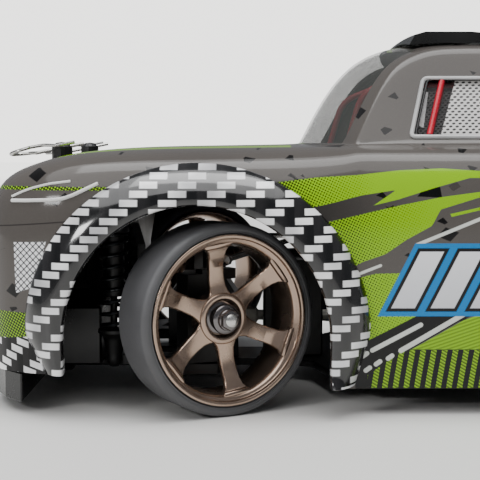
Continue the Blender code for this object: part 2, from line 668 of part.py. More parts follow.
# ----------------------------------------------------------------------- corners
TYRE_PROFILE = [(0.0280, 0.0200), (0.0296, 0.0200), (0.0310, 0.0184), (0.0310, 0.0016), (0.0296, 0.0),
                (0.0280, 0.0), (0.0252, 0.0024), (0.0252, 0.0176)]
BARREL_PROFILE = [(0.0276, 0.0199), (0.0248, 0.0175), (0.0248, 0.0025), (0.0272, 0.0002), (0.0260, 0.0002),
                  (0.0234, 0.0029), (0.0234, 0.0168), (0.0264, 0.0199)]
HUB_FACE = 0.0143
AXLE_TIP = 0.0213


def outward(side):
    """Rotation that lays a turned piece's axis towards the car's outside."""
    return (-side * math.pi / 2, 0, 0)


def build_wheel(prefix, side, axis):
    """Rim, tyre and axle on the hub's axis; heights run outwards from the inner face."""
    foot = (0, side * TYRE_INNER_OFFSET, 0)
    tyre = turned(f"{prefix}_tyre", TYRE_PROFILE, 28, RUBBER, foot, outward(side), axis, closed=True)
    smooth(tyre, 40)

    rim = as_mesh(turned(f"{prefix}_rim", BARREL_PROFILE, 24, BRONZE, foot, outward(side), axis, closed=True))
    hub = turned("hub", [(0, HUB_FACE), (0.0072, HUB_FACE), (0.0072, 0.0060), (0, 0.0060)], 12, None, foot,
                 outward(side), axis)
    combine(rim, as_mesh(hub), "UNION")
    for spoke in range(6):
        blade = [(0.004, -0.0019), (0.0241, -0.0040), (0.0241, 0.0040), (0.004, 0.0019)]
        piece = add_mesh("spoke", prism(blade, 0.0105, 0.0138), None, foot, outward(side), axis)
        piece.rotation_euler = (Matrix.Rotation(outward(side)[0], 3, "X")
                                @ Matrix.Rotation(math.pi / 3 * spoke + math.pi / 6, 3, "Z")).to_euler()
        combine(rim, as_mesh(piece), "UNION")
    bore = turned("bore", [(0, 0.03), (0.0025, 0.03), (0.0025, -0.01), (0, -0.01)], 8, None, foot,
                  outward(side), axis, collection=CUTTERS)
    combine(rim, as_mesh(bore), "DIFFERENCE")

    nut = 0.0040
    profile = [(0, AXLE_TIP), (0.0021, AXLE_TIP - 0.0006), (0.0021, 0.0188), (nut, 0.0182), (nut, 0.0160),
               (0.0052, 0.0154), (0.0052, HUB_FACE + GAP), (0.0021, HUB_FACE + GAP), (0.0021, 0.0057),
               (0.0048, 0.0057), (0.0048, 0.0006), (0.0021, 0.0006), (0.0021, -0.0075), (0, -0.0075)]
    turned(f"{prefix}_axle", profile, 10, STEEL, foot, outward(side), axis)


def build_hub_carrier(name, side, axis, steered):
    """Upright that carries the axle; the front one has a steering arm on its top."""
    arm_top = ARM_PIVOT_Z + ARM_HALF_THICKNESS - WHEEL_RADIUS
    low = (-0.0055, min(-side * 0.0058, side * 0.0026), arm_top + 0.0005)
    high = (0.0055, max(-side * 0.0058, side * 0.0026), 0.0130)
    upright = add_mesh(name, block(low, high), NYLON, parent=axis)
    bore = turned("bore", [(0, 0.02), (0.0025, 0.02), (0.0025, -0.02), (0, -0.02)], 8, None, (0, 0, 0),
                  outward(side), axis, collection=CUTTERS)
    combine(upright, as_mesh(bore), "DIFFERENCE")
    if steered:
        arm = block((-STEERING_ARM - 0.0025, -0.0025, 0.0110), (0.0, 0.0025, 0.0145))
        combine(upright, add_mesh("arm", arm, parent=axis), "UNION")
    return bevelled(upright, 0.0004)


def build_lower_arm(name, end, side):
    """Flat suspension arm, hinged on the chassis and reaching forward for the shock."""
    half = [(0.092, 0.0175), (0.130, 0.0175), (0.130, 0.042), (0.124, 0.044), (0.110, 0.050), (0.109, 0.0615),
            (0.096, 0.0615), (0.095, 0.050), (0.092, 0.040)]
    hinge = pivot(f"{name}_axis", (end * AXLE_X, side * ARM_PIVOT_Y, ARM_PIVOT_Z))
    outline = [(end * (x - AXLE_X), side * (y - ARM_PIVOT_Y)) for x, y in half]
    arm = add_mesh(name, prism(outline, -ARM_HALF_THICKNESS, ARM_HALF_THICKNESS), NYLON, parent=hinge)
    slot = [(0.100, 0.026), (0.120, 0.026), (0.118, 0.036), (0.106, 0.043), (0.100, 0.043)]
    window = prism([(end * (x - AXLE_X), side * (y - ARM_PIVOT_Y)) for x, y in slot], -0.01, 0.01)
    combine(arm, add_mesh("window", window, parent=hinge, collection=CUTTERS), "DIFFERENCE")
    return bevelled(arm, 0.0004)


def build_shock(prefix, end, side):
    """Oil shock, its rod and its coil spring, standing ahead of or behind the axle."""
    place = (end * SHOCK_X, side * SHOCK_Y, 0)
    collar = SPRING_TOP_Z + SPRING_WIRE + 0.0002
    body = [(0, 0.0700), (0.0030, 0.0700), (0.0048, 0.0685), (0.0048, 0.0620), (0.0037, 0.0610),
            (0.0037, collar + 0.0026), (0.0056, collar + 0.0026), (0.0056, collar), (0.0037, collar),
            (0.0037, 0.0340), (0.0016, 0.0340), (0.0016, 0.0560), (0, 0.0560)]
    turned(f"{prefix}_shock_body", body, 10, NYLON, place)
    seat = SPRING_BOTTOM_Z - SPRING_WIRE - 0.0002
    rod = [(0, 0.0460), (0.0012, 0.0460), (0.0012, seat), (0.0056, seat), (0.0056, seat - 0.0056),
           (0.0030, seat - 0.0070), (0.0026, SHOCK_EYE_Z), (0.0022, SHOCK_EYE_Z - 0.0026),
           (0, SHOCK_EYE_Z - 0.0030)]
    turned(f"{prefix}_shock_rod", rod, 10, STEEL, place)
    per_turn = 7
    count = SPRING_TURNS * per_turn
    points = []
    for i in range(count + 1):
        angle = 2 * math.pi * i / per_turn
        height = SPRING_BOTTOM_Z + (SPRING_TOP_Z - SPRING_BOTTOM_Z) * i / count
        points.append((place[0] + SPRING_RADIUS * math.cos(angle), place[1] + SPRING_RADIUS * math.sin(angle),
                       height))
    tube(f"{prefix}_spring", points, SPRING_WIRE, SPRING_BLACK, sides=0)


def build_corner(prefix, end, side):
    steered = end > 0
    turn = STEER_REST if steered else 0.0
    build_lower_arm(f"{prefix}_lower_arm", end, side)
    kingpin = pivot(f"{prefix}_kingpin", (end * AXLE_X, side * KINGPIN_Y, WHEEL_RADIUS), turn_z=turn)
    carrier = "knuckle" if steered else "hub_carrier"
    build_hub_carrier(f"{prefix}_{carrier}", side, kingpin, steered)
    build_wheel(prefix, side, kingpin)
    build_shock(prefix, end, side)
    if steered:
        build_track_rod(f"{prefix}_track_rod", side)


# ---------------------------------------------------------------------- assembly
def build_car():
    build_body()
    build_windows()
    build_roll_cage()
    build_roof_rail()
    build_bumpers()
    build_chassis_plate()
    build_tower("front_shock_tower", 1)
    build_tower("rear_shock_tower", -1)
    build_gearboxes()
    build_drivetrain()
    build_electronics()
    build_servo_horn()
    for end, end_name in ((1, "front"), (-1, "rear")):
        for side, side_name in ((1, "left"), (-1, "right")):
            prefix = f"{end_name}_{side_name}"
            build_corner(prefix, end, side)
            build_clip(f"{prefix}_clip", end, side)


build_car()
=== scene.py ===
"""Looks of a radio-controlled drift car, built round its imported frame.

Every piece is in metres, with +X to the front of the car, +Y to its left and +Z up.
"""

from __future__ import annotations

import logging
import math
from dataclasses import dataclass
from enum import Enum
from typing import Any, Sequence

import bmesh
import bpy
from mathutils import Matrix, Vector
from mathutils.bvhtree import BVHTree

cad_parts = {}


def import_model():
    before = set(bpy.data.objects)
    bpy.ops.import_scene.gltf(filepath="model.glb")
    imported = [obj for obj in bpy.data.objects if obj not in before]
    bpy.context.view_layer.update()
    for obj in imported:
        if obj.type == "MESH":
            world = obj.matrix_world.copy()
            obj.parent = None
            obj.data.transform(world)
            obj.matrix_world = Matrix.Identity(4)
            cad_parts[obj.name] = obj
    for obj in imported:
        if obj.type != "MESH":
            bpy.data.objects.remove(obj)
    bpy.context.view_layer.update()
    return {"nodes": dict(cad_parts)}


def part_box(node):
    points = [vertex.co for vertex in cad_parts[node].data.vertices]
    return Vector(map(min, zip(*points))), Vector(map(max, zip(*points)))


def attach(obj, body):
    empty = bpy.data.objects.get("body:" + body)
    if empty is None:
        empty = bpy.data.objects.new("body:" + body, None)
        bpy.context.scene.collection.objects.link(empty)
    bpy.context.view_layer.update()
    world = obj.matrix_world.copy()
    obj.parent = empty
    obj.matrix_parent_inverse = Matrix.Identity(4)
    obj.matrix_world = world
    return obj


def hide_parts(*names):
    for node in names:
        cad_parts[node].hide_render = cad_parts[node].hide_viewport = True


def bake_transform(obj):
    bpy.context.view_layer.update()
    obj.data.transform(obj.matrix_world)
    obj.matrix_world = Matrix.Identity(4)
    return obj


LOG = logging.getLogger("drift_car")
Pair = tuple[float, float]
Triple = tuple[float, float, float]
Colour = tuple[float, float, float, float]


class Side(Enum):
    """The car's two sides, by the sign of Y."""

    LEFT = 1
    RIGHT = -1


class End(Enum):
    """The car's two ends, by the sign of X."""

    FRONT = 1
    REAR = -1


class SkinPart(Enum):
    """Parts of the shell's skin, by material slot."""

    PAINT = 0
    LINING = 1
    WINDSCREEN = 2
    REAR_WINDOW = 3


AXLE_X = 0.1025
KINGPIN_Y = 0.061
WHEEL_RADIUS = 0.031
WHEEL_INNER_FACE = 0.0028
STEER_REST = math.radians(28.9)
ARCH_RADIUS = 0.042
ARCH_CENTRE_Z = 0.0258


def paint_colour(red: int, green: int, blue: int) -> Colour:
    """A display colour, 0 to 255, as a linear shader colour.

    Args:
        red: Red level.
        green: Green level.
        blue: Blue level.

    Returns:
        The linear colour with full alpha.
    """
    levels = [level / 255 for level in (red, green, blue)]
    linear = [v / 12.92 if v <= 0.04045 else ((v + 0.055) / 1.055) ** 2.4 for v in levels]
    return (linear[0], linear[1], linear[2], 1.0)


# ------------------------------------------------------------------ shader maths
class Signal:
    """A shader socket that takes part in Python expressions."""

    def __init__(self, graph: "Graph", socket: Any) -> None:
        """Wrap a socket.

        Args:
            graph: The material that the socket is in.
            socket: A node's output socket.
        """
        self.graph = graph
        self.socket = socket

    def maths(self, operation: str, *others: Any) -> "Signal":
        """One Math node on this socket and others.

        Args:
            operation: The node's operation.
            *others: Sockets or numbers for the further inputs.

        Returns:
            The node's output.
        """
        return self.graph.node("ShaderNodeMath", {"operation": operation}, self, *others)

    def __add__(self, other: Any) -> "Signal":
        """Sum."""
        return self.maths("ADD", other)

    __radd__ = __add__

    def __sub__(self, other: Any) -> "Signal":
        """Difference."""
        return self.maths("SUBTRACT", other)

    def __rsub__(self, other: float) -> "Signal":
        """Difference from a number."""
        return self * -1.0 + other

    def __mul__(self, other: Any) -> "Signal":
        """Product."""
        return self.maths("MULTIPLY", other)

    __rmul__ = __mul__

    def __truediv__(self, other: float) -> "Signal":
        """Quotient by a number."""
        return self.maths("DIVIDE", other)

    def __or__(self, other: "Signal") -> "Signal":
        """The larger, which is either of two masks."""
        return self.maths("MAXIMUM", other)

    def __and__(self, other: "Signal") -> "Signal":
        """The smaller, which is both of two masks."""
        return self.maths("MINIMUM", other)

    def fraction(self) -> "Signal":
        """Part after the decimal point."""
        return self.maths("FRACT")

    def size(self) -> "Signal":
        """Absolute value."""
        return self.maths("ABSOLUTE")

    def ramp(self, low: float, high: float) -> "Signal":
        """0 below low, 1 above high, straight between; low above high turns it round."""
        return self.graph.node("ShaderNodeMapRange", {"clamp": True}, self, low, high, 0.0, 1.0)

    def above(self, edge: Any, soft: float = 0.00012) -> "Signal":
        """Mask of where this exceeds an edge, with a printed edge's softness."""
        return (self - edge).ramp(-soft, soft)

    def below(self, edge: Any, soft: float = 0.00012) -> "Signal":
        """Mask of where this is under an edge."""
        return (self - edge).ramp(soft, -soft)


class Graph:
    """One node material."""

    def __init__(self, name: str) -> None:
        """Start an empty material.

        Args:
            name: The finish's name.
        """
        self.material = bpy.data.materials.new(name)
        self.material.use_nodes = True
        self.tree = self.material.node_tree
        self.shader = self.tree.nodes["Principled BSDF"]

    def node(self, kind: str, settings: dict[str, Any], *inputs: Any, output: int | str = 0) -> Signal:
        """Add any node.

        Args:
            kind: The node's type.
            settings: Attributes, which are set first.
            *inputs: Values or links of its first enabled sockets, in order; None leaves one alone.
            output: Name of the output to return, or its place among the enabled ones.

        Returns:
            The wrapped output.
        """
        made = self.tree.nodes.new(kind)
        for key, value in settings.items():
            setattr(made, key, value)
        enabled = [socket for socket in made.inputs if socket.enabled]
        for socket, value in zip(enabled, inputs):
            self.feed(socket, value)
        if isinstance(output, str):
            return Signal(self, made.outputs[output])
        return Signal(self, [socket for socket in made.outputs if socket.enabled][output])

    def feed(self, socket: Any, value: Any) -> None:
        """Link or set one socket.

        Args:
            socket: The node's input.
            value: A link or a value; None leaves the socket alone.
        """
        if isinstance(value, Signal):
            self.tree.links.new(value.socket, socket)
        elif value is not None:
            socket.default_value = value

    def parts(self, vector: Signal) -> tuple[Signal, Signal, Signal]:
        """A vector's or colour's three parts."""
        first, second, third = self.node("ShaderNodeSeparateXYZ", {}, vector).socket.node.outputs
        return Signal(self, first), Signal(self, second), Signal(self, third)

    def place(self) -> tuple[Signal, Signal, Signal]:
        """Object coordinates, split into X, Y and Z."""
        return self.parts(self.vector())

    def vector(self) -> Signal:
        """Object coordinates."""
        return self.node("ShaderNodeTexCoord", {}, output="Object")

    def attribute(self, name: str) -> Signal:
        """A number stored on the mesh."""
        return self.node("ShaderNodeAttribute", {"attribute_name": name}, output="Fac")

    def noise(self, scale: float, detail: float = 3.0, vector: Signal | None = None) -> Signal:
        """Cloudy noise, about 0.5."""
        return self.node("ShaderNodeTexNoise", {}, vector or self.vector(), scale, detail)

    def mix(self, factor: Any, first: Any, second: Any) -> Signal:
        """Blend two colours."""
        return self.node("ShaderNodeMix", {"data_type": "RGBA"}, factor, first, second)

    def profile(self, along: Signal, stops: Sequence[Pair]) -> Signal:
        """A height that follows straight runs between stops, in millimetres, along the car.

        Args:
            along: X, in metres.
            stops: (x, z) pairs in millimetres.

        Returns:
            The height in metres.
        """
        low, high, tall = -60.0, 90.0, 100.0
        made = self.node("ShaderNodeFloatCurve", {}, 1.0, along.ramp(low / 1000, high / 1000))
        mapping = made.socket.node.mapping
        curve = mapping.curves[0]
        spots = [((x - low) / (high - low), z / tall) for x, z in sorted(stops)]
        curve.points[0].location = spots[0]
        curve.points[1].location = spots[-1]
        for spot in spots[1:-1]:
            curve.points.new(*spot)
        for point in curve.points:
            point.handle_type = "VECTOR"
        mapping.update()
        return made * (tall / 1000)

    def outline(self, x: Signal, z: Signal, corners: Sequence[Pair]) -> Signal:
        """Distance outside a convex outline, in metres, negative inside.

        Args:
            x: First coordinate.
            z: Second coordinate.
            corners: Corners in millimetres, in order round the outline.

        Returns:
            The mitred distance.
        """
        middle = [sum(c[i] for c in corners) / len(corners) for i in (0, 1)]
        result: Signal | None = None
        for (x0, z0), (x1, z1) in zip(corners, [*corners[1:], corners[0]]):
            normal = Vector((z1 - z0, x0 - x1)).normalized()
            if normal.dot(Vector((x0 - middle[0], z0 - middle[1]))) < 0:
                normal = -normal
            offset = normal.dot(Vector((x0, z0))) / 1000
            edge = x * normal.x + z * normal.y - offset
            result = edge if result is None else result | edge
        return result

    def capsule(self, x: Signal, z: Signal, start: Pair, end: Pair, radius: float) -> Signal:
        """Mask of a round-ended stroke between two points.

        Args:
            x: First coordinate, in metres.
            z: Second coordinate, in metres.
            start: One end, in millimetres.
            end: The other end, in millimetres.
            radius: Half the stroke's width, in millimetres.

        Returns:
            The mask.
        """
        run = Vector(end) - Vector(start)
        length = run.length
        run.normalize()
        dx = x - start[0] / 1000
        dz = z - start[1] / 1000
        ahead = dx * run.x + dz * run.y
        across = (dz * run.x - dx * run.y).size()
        beyond = (ahead * -1.0) | (ahead - length / 1000) | (across * 0.0)
        reach = (beyond * beyond + across * across).maths("SQRT")
        return reach.below(radius / 1000)

    def finish(self, **values: Any) -> bpy.types.Material:
        """Set the Principled shader's inputs.

        Args:
            **values: Socket names, with _ for a space, to values or links.

        Returns:
            The finished material.
        """
        for key, value in values.items():
            self.feed(self.shader.inputs[key.replace("_", " ")], value)
        return self.material

    def bump(self, height: Signal, strength: float, distance: float = 0.0002) -> Signal:
        """A Bump node's normal."""
        return self.node("ShaderNodeBump", {}, strength, distance, None, height)


# ---------------------------------------------------------------------- finishes
@dataclass(frozen=True)
class Moulded:
    """Moulded nylon, plastic or rubber, with a fine grain."""

    name: str
    colour: Colour
    roughness: float = 0.5
    grain: float = 1800.0
    depth: float = 0.15
    vary: float = 0.25

    def material(self) -> bpy.types.Material:
        """Build the node material.

        Returns:
            The material.
        """
        graph = Graph(self.name)
        cloud = graph.noise(60.0, 4.0)
        grain = graph.noise(self.grain, 2.0)
        darker = tuple(level * (1 - self.vary) for level in self.colour[:3]) + (1.0,)
        colour = graph.mix(cloud.ramp(0.3, 0.7), darker, self.colour)
        rough = (cloud - 0.5) * 0.25 + (grain - 0.5) * 0.12 + self.roughness
        return graph.finish(Base_Color=colour, Roughness=rough, Normal=graph.bump(grain, self.depth))


@dataclass(frozen=True)
class Plated:
    """Metal plating or bare metal with fine turned or brushed lines."""

    name: str
    colour: Colour
    roughness: float = 0.28
    stretch: Triple = (300.0, 300.0, 300.0)
    dim: float = 0.72
    depth: float = 0.06
    metallic: float = 0.92

    def material(self) -> bpy.types.Material:
        """Build the node material.

        Returns:
            The material.
        """
        graph = Graph(self.name)
        scaled = graph.node("ShaderNodeVectorMath", {"operation": "MULTIPLY"}, graph.vector(), self.stretch)
        lines = graph.noise(1.0, 5.0, scaled)
        cloud = graph.noise(90.0, 3.0)
        darker = tuple(level * self.dim for level in self.colour[:3]) + (1.0,)
        colour = graph.mix(cloud.ramp(0.35, 0.65), darker, self.colour)
        rough = (lines - 0.5) * 0.22 + (cloud - 0.5) * 0.15 + self.roughness
        return graph.finish(Base_Color=colour, Roughness=rough, Metallic=self.metallic,
                            Normal=graph.bump(lines, self.depth))


@dataclass(frozen=True)
class Smoked:
    """Smoked clear polycarbonate, its tint and density varying in soft clouds."""

    name: str
    alpha: float = 0.42

    def material(self) -> bpy.types.Material:
        """Build the node material.

        Returns:
            The material.
        """
        graph = Graph(self.name)
        cloud = graph.noise(30.0, 2.0)
        colour = graph.mix(cloud, paint_colour(58, 60, 58), paint_colour(92, 93, 88))
        alpha = (cloud - 0.5) * 0.16 + self.alpha
        return graph.finish(Base_Color=colour, Roughness=(cloud - 0.5) * 0.05 + 0.07, Alpha=alpha, IOR=1.58)


@dataclass(frozen=True)
class WindowNet:
    """Side window: perforated net with a clear stripe ahead of it."""

    name: str

    def material(self) -> bpy.types.Material:
        """Build the node material.

        Returns:
            The material.
        """
        graph = Graph(self.name)
        x, _, z = graph.place()
        pitch_x, pitch_z = 0.0021, 0.00098
        half_wide, half_tall = 0.00060, 0.00036
        row = (z / pitch_z).maths("FLOOR")
        shift = (row * 0.5).fraction()
        u = ((x / pitch_x + shift).fraction() - 0.5) * pitch_x
        v = ((z / pitch_z).fraction() - 0.5) * pitch_z
        skew = u + v * 0.35
        hole = (skew * skew / half_wide ** 2 + v * v / half_tall ** 2).ramp(1.12, 0.85)
        weave = graph.noise(2600.0, 2.0)
        net = graph.mix(hole, paint_colour(196, 194, 192), paint_colour(38, 34, 34))
        edge = x + (z - 0.0915) * 0.33
        clear = edge.above(0.0228)
        strip = graph.outline(x, z, [(30.4, 92.8), (28.2, 104.5), (26.6, 104.0), (28.9, 92.2)]).below(0.0)
        dark = graph.mix(strip, paint_colour(40, 38, 38), paint_colour(150, 150, 150))
        colour = graph.mix(clear, net, dark)
        alpha = 1.0 - clear * (1.0 - strip) * 0.78
        bump = graph.bump(weave * 0.3 - hole, 0.35)
        return graph.finish(Base_Color=colour, Roughness=(weave - 0.5) * 0.2 + 0.42, Alpha=alpha, Normal=bump)


def woven(graph: Graph, x: Signal, z: Signal) -> Signal:
    """Colour of the twill of pale bricks on black, which always lies level.

    Args:
        graph: The material.
        x: Place along the car, in metres.
        z: Height, in metres.

    Returns:
        The colour.
    """
    pitch, period = 0.0028, 0.0121
    row = (z / pitch).maths("FLOOR")
    place = (x / period + row * 0.252).fraction()
    brick = (place - 0.25).size().ramp(0.245, 0.215)
    course = ((z / pitch).fraction() - 0.5).size().ramp(0.40, 0.34)
    shade = graph.noise(55.0, 2.0)
    light = graph.mix(shade.ramp(0.35, 0.62), paint_colour(176, 176, 178), paint_colour(250, 250, 250))
    dark = graph.mix((row * 0.5 + place * 2.0).fraction().ramp(0.3, 0.7), paint_colour(5, 5, 6),
                     paint_colour(26, 25, 26))
    return graph.mix(brick * course, dark, light)


@dataclass(frozen=True)
class WovenGloss:
    """Glossy printed twill on the wheel-arch flares."""

    name: str

    def material(self) -> bpy.types.Material:
        """Build the node material.

        Returns:
            The material.
        """
        graph = Graph(self.name)
        x, _, z = graph.place()
        across = graph.attribute("band_across")
        weave = woven(graph, x, z)
        rim = across.below(0.0013)
        colour = graph.mix(rim, weave, paint_colour(12, 12, 12))
        ripple = graph.noise(220.0, 2.0)
        return graph.finish(Base_Color=colour, Roughness=(ripple - 0.5) * 0.08 + 0.14, Coat_Weight=0.6,
                            Normal=graph.bump(ripple, 0.05, 0.0004))


@dataclass(frozen=True)
class Livery:
    """The printed body: gunmetal, dark splinters, lime sweeps with halftone, and three slanted bars."""

    name: str
    lime: Colour = paint_colour(132, 182, 0)
    ink: Colour = paint_colour(9, 9, 10)
    pale: Colour = paint_colour(205, 208, 202)
    blue: Colour = paint_colour(0, 118, 182)
    silver: Colour = paint_colour(196, 198, 204)
    dot_ink: Colour = paint_colour(34, 38, 18)
    half_between_arches: float = 0.0555

    def splinters(self, graph: Graph, vector: Signal) -> Signal:
        """Mask of small scattered dark shards.

        Args:
            graph: The material.
            vector: Object coordinates.

        Returns:
            The mask.
        """
        masks = []
        for scale, turn, keep in ((72.0, 0.5, 0.52), (128.0, -0.7, 0.62)):
            mapped = graph.node("ShaderNodeMapping", {}, vector, (0.1, 0.03, 0.07), (0.3, turn, 0.4),
                                (1.0, 0.7, 1.45))
            near = graph.node("ShaderNodeTexVoronoi", {"distance": "CHEBYCHEV"}, mapped, scale)
            pick, _, _ = graph.parts(Signal(graph, near.socket.node.outputs["Color"]))
            masks.append(near.below(0.17, 0.012) * pick.above(keep, 0.01))
        return masks[0] | masks[1]

    def sweep(self, graph: Graph, x: Signal, z: Signal, top: Sequence[Pair], foot: Sequence[Pair]) -> Signal:
        """Mask between two profiles along the car."""
        return z.below(graph.profile(x, top)) * z.above(graph.profile(x, foot))

    def halftone(self, x: Signal, z: Signal, start: float, end: float) -> Signal:
        """Ink of a dot screen, which fades out along the car.

        Args:
            x: Place along the car, in metres.
            z: Height, in metres.
            start: Where the dots are largest.
            end: Where they have gone.

        Returns:
            The mask of the ink.
        """
        pitch = 0.00086
        u = (x * 0.9 + z * 0.44) * (2 * math.pi / pitch)
        v = (z * 0.9 - x * 0.44) * (2 * math.pi / pitch)
        dots = (u.maths("COSINE") + v.maths("COSINE")) * 0.25 + 0.5
        fade = x.ramp(end, start)
        return (dots - (1.02 - fade * 0.62)).ramp(-0.06, 0.06)

    def badge(self, graph: Graph, x: Signal, z: Signal, colour: Signal) -> Signal:
        """Three plain slanted bars, each with a dark border, inside one blue border.

        Args:
            graph: The material.
            x: Place along the car, in metres.
            z: Height, in metres.
            colour: The colour beneath.

        Returns:
            The colour with the bars on it.
        """
        low, high, width, lean = 35.0, 53.0, 7.5, 9.0
        bars = [graph.outline(x, z, [(front, low), (front - width, low), (front - width - lean, high),
                                     (front - lean, high)])
                for front in (41.0, 28.5, 16.0)]
        reach = bars[0] & bars[1] & bars[2]
        colour = graph.mix(reach.below(0.0026), colour, self.blue)
        colour = graph.mix(reach.below(0.0011), colour, self.ink)
        shine = (z - 0.030).ramp(0.0, 0.028)
        inner = graph.mix(shine, self.silver, paint_colour(232, 233, 236))
        return graph.mix(reach.below(0.0), colour, inner)

    def base_coat(self, graph: Graph, cloud: Signal) -> Signal:
        """Gunmetal with a fine fleck and dark splinters.

        Args:
            graph: The material.
            cloud: Slow noise.

        Returns:
            The colour.
        """
        fleck = graph.noise(5200.0, 1.0)
        base = graph.mix(cloud, paint_colour(66, 62, 60), paint_colour(88, 84, 80))
        base = graph.mix(fleck.ramp(0.55, 0.8) * 0.25, base, paint_colour(118, 112, 106))
        return graph.mix(self.splinters(graph, graph.vector()), base, paint_colour(14, 13, 13))

    def sweeps(self, graph: Graph, x: Signal, z: Signal, middle: Signal, colour: Signal) -> Signal:
        """Lime sweeps with their halftone, the dark shapes between them, and painted shade that darkens the
        gunmetal between the first two towards the front flare.

        Args:
            graph: The material.
            x: Place along the car, in metres.
            z: Height, in metres.
            middle: Mask of the part between the arches.
            colour: The colour beneath.

        Returns:
            The colour with the sweeps on it.
        """
        first = self.sweep(graph, x, z,
                           [(82, 74.4), (65, 76.4), (52, 77.1), (38.5, 78.6), (25, 79.2), (13, 78.4),
                            (-8, 76.6), (-40, 72.0)],
                           [(82, 70.0), (70, 66.5), (61.5, 68.0), (50.8, 70.7), (40.0, 72.4), (38.6, 69.6),
                            (27.4, 73.1), (16.4, 76.2), (-8, 76.4), (-40, 72.2)])
        tongue = self.sweep(graph, x, z, [(47.2, 67.3), (39.4, 72.6), (38.2, 72.6), (37.9, 60.0)],
                            [(47.2, 67.5), (38.0, 69.7), (37.9, 69.7)])
        tongue = tongue * x.below(0.0470) * x.above(0.0382)
        second = self.sweep(graph, x, z,
                            [(66, 61.6), (63.6, 62.0), (51.8, 64.5), (38.5, 67.6), (25.3, 70.2), (13.4, 71.8),
                             (-20, 73.0), (-52, 73.5)],
                            [(66, 50.0), (56.5, 46.5), (50, 49.8), (43, 52.2), (36.3, 56.8), (28.3, 61.2),
                             (25.7, 66.3), (13.4, 70.1), (-6, 71.9), (-30, 66.0), (-52, 54.0)])
        third = self.sweep(graph, x, z,
                           [(60, 42.4), (56, 43.6), (46, 46.0), (36, 46.2), (30, 46.4), (29.8, 20)],
                           [(60, 20.0), (51, 23.0), (36.7, 30.5), (30, 34.0), (29.8, 34)])
        fourth = self.sweep(graph, x, z, [(34.5, 21.4), (18.1, 31.0), (0, 38.0), (-56, 42.0)],
                            [(34.5, 21.5), (-56, 21.5)])
        shadow = self.sweep(graph, x, z,
                            [(56, 21.0), (51, 23.2), (36.7, 30.6), (24, 38), (13, 47.0), (0, 52.0),
                             (-56, 56.0)],
                            [(56, 8.0), (34.8, 21.4), (18.0, 31.5), (0, 38.6), (-56, 42.4)])
        dots = self.halftone(x, z, 0.078, 0.044)
        dots_low = self.halftone(x, z, 0.068, 0.026) | self.halftone(x * -1.0, z, 0.172, 0.112)
        upper = graph.mix(dots, self.lime, self.dot_ink)
        lower = graph.mix(dots_low, self.lime, self.dot_ink)
        # Painted shade: ink fades in over the gunmetal between the first two sweeps, darkest towards the
        # front flare.
        flare_shade_wedge = graph.outline(x, z, [(84.0, 72.5), (84.0, 60.0), (30.0, 66.5), (22.0, 72.0), (40.0, 73.0)])
        colour = graph.mix(flare_shade_wedge.below(0.0) * x.ramp(0.030, 0.072) * 0.8, colour, self.ink)
        patch = graph.outline(x, z, [(33.0, 70.4), (31.0, 72.9), (25.8, 73.4), (25.2, 70.0)]).below(0.0)
        colour = graph.mix(patch, colour, self.ink)
        streak = graph.outline(x, z, [(22.2, 64.0), (22.6, 64.9), (6.0, 68.6), (6.0, 67.8)]).below(0.0)
        colour = graph.mix(first | tongue | streak, colour, upper)
        colour = graph.mix(shadow * z.above(0.008), colour, self.ink)
        colour = graph.mix(second * x.below(0.066), colour, lower)
        colour = graph.mix(third, colour, lower)
        colour = graph.mix(fourth * middle, colour, self.lime)
        slats = ((z * 1.0 + x * 0.35) / 0.00115).fraction().ramp(0.42, 0.58)
        return graph.mix(fourth * middle * slats * x.above(0.004) * 0.55, colour, paint_colour(70, 92, 6))

    def skirt(self, graph: Graph, x: Signal, z: Signal, middle: Signal, colour: Signal) -> Signal:
        """Dark sill with upright lime bars.

        Args:
            graph: The material.
            x: Place along the car, in metres.
            z: Height, in metres.
            middle: Mask of the part between the arches.
            colour: The colour beneath.

        Returns:
            The colour with the sill on it.
        """
        colour = graph.mix(z.below(0.0216) * middle * x.below(0.0520), colour, self.ink)
        bar = ((x + z * 0.14) / 0.00343).fraction().ramp(0.46, 0.52)
        bar_top = graph.profile(x, [(52, 8), (49.5, 12.0), (38, 20.4), (35, 21.4), (-60, 21.4)])
        hatch = ((x * 0.6 - z) / 0.0011).fraction().ramp(0.3, 0.7)
        stripe = graph.mix(hatch, self.lime, paint_colour(66, 88, 8))
        return graph.mix(bar * z.below(bar_top) * z.above(0.0089) * middle * x.below(0.0480), colour, stripe)

    def strokes(self, graph: Graph, x: Signal, z: Signal, colour: Signal) -> Signal:
        """Pale round-ended strokes along the flank.

        Args:
            graph: The material.
            x: Place along the car, in metres.
            z: Height, in metres.
            colour: The colour beneath.

        Returns:
            The colour with the strokes on it.
        """
        mask = graph.capsule(x, z, (46.7, 21.3), (31.5, 29.6), 0.75)
        for start, end, radius in (((37.6, 21.2), (18.1, 33.0), 0.8), ((49.6, 19.4), (48.4, 20.3), 0.75),
                                   ((48.6, 14.6), (47.4, 15.5), 0.75), ((45.4, 16.7), (44.2, 17.6), 0.75),
                                   ((41.6, 18.6), (40.4, 19.5), 0.75), ((55.5, 44.3), (44.5, 48.6), 0.45),
                                   ((33.0, 55.2), (13.0, 63.4), 0.55), ((13.0, 63.4), (-30.0, 67.0), 0.5)):
            mask = mask | graph.capsule(x, z, start, end, radius)
        return graph.mix(mask, colour, self.pale)

    @staticmethod
    def lattice(across: Signal, up: Signal, pitch: float) -> Signal:
        """Mask of crossed wires at 45 degrees.

        Args:
            across: First coordinate.
            up: Second coordinate.
            pitch: Distance from wire to wire, along either coordinate.

        Returns:
            The mask.
        """
        rising = (((across + up) / pitch).fraction() - 0.5).size()
        falling = (((up - across) / pitch).fraction() - 0.5).size()
        return (rising & falling).ramp(0.13, 0.09)

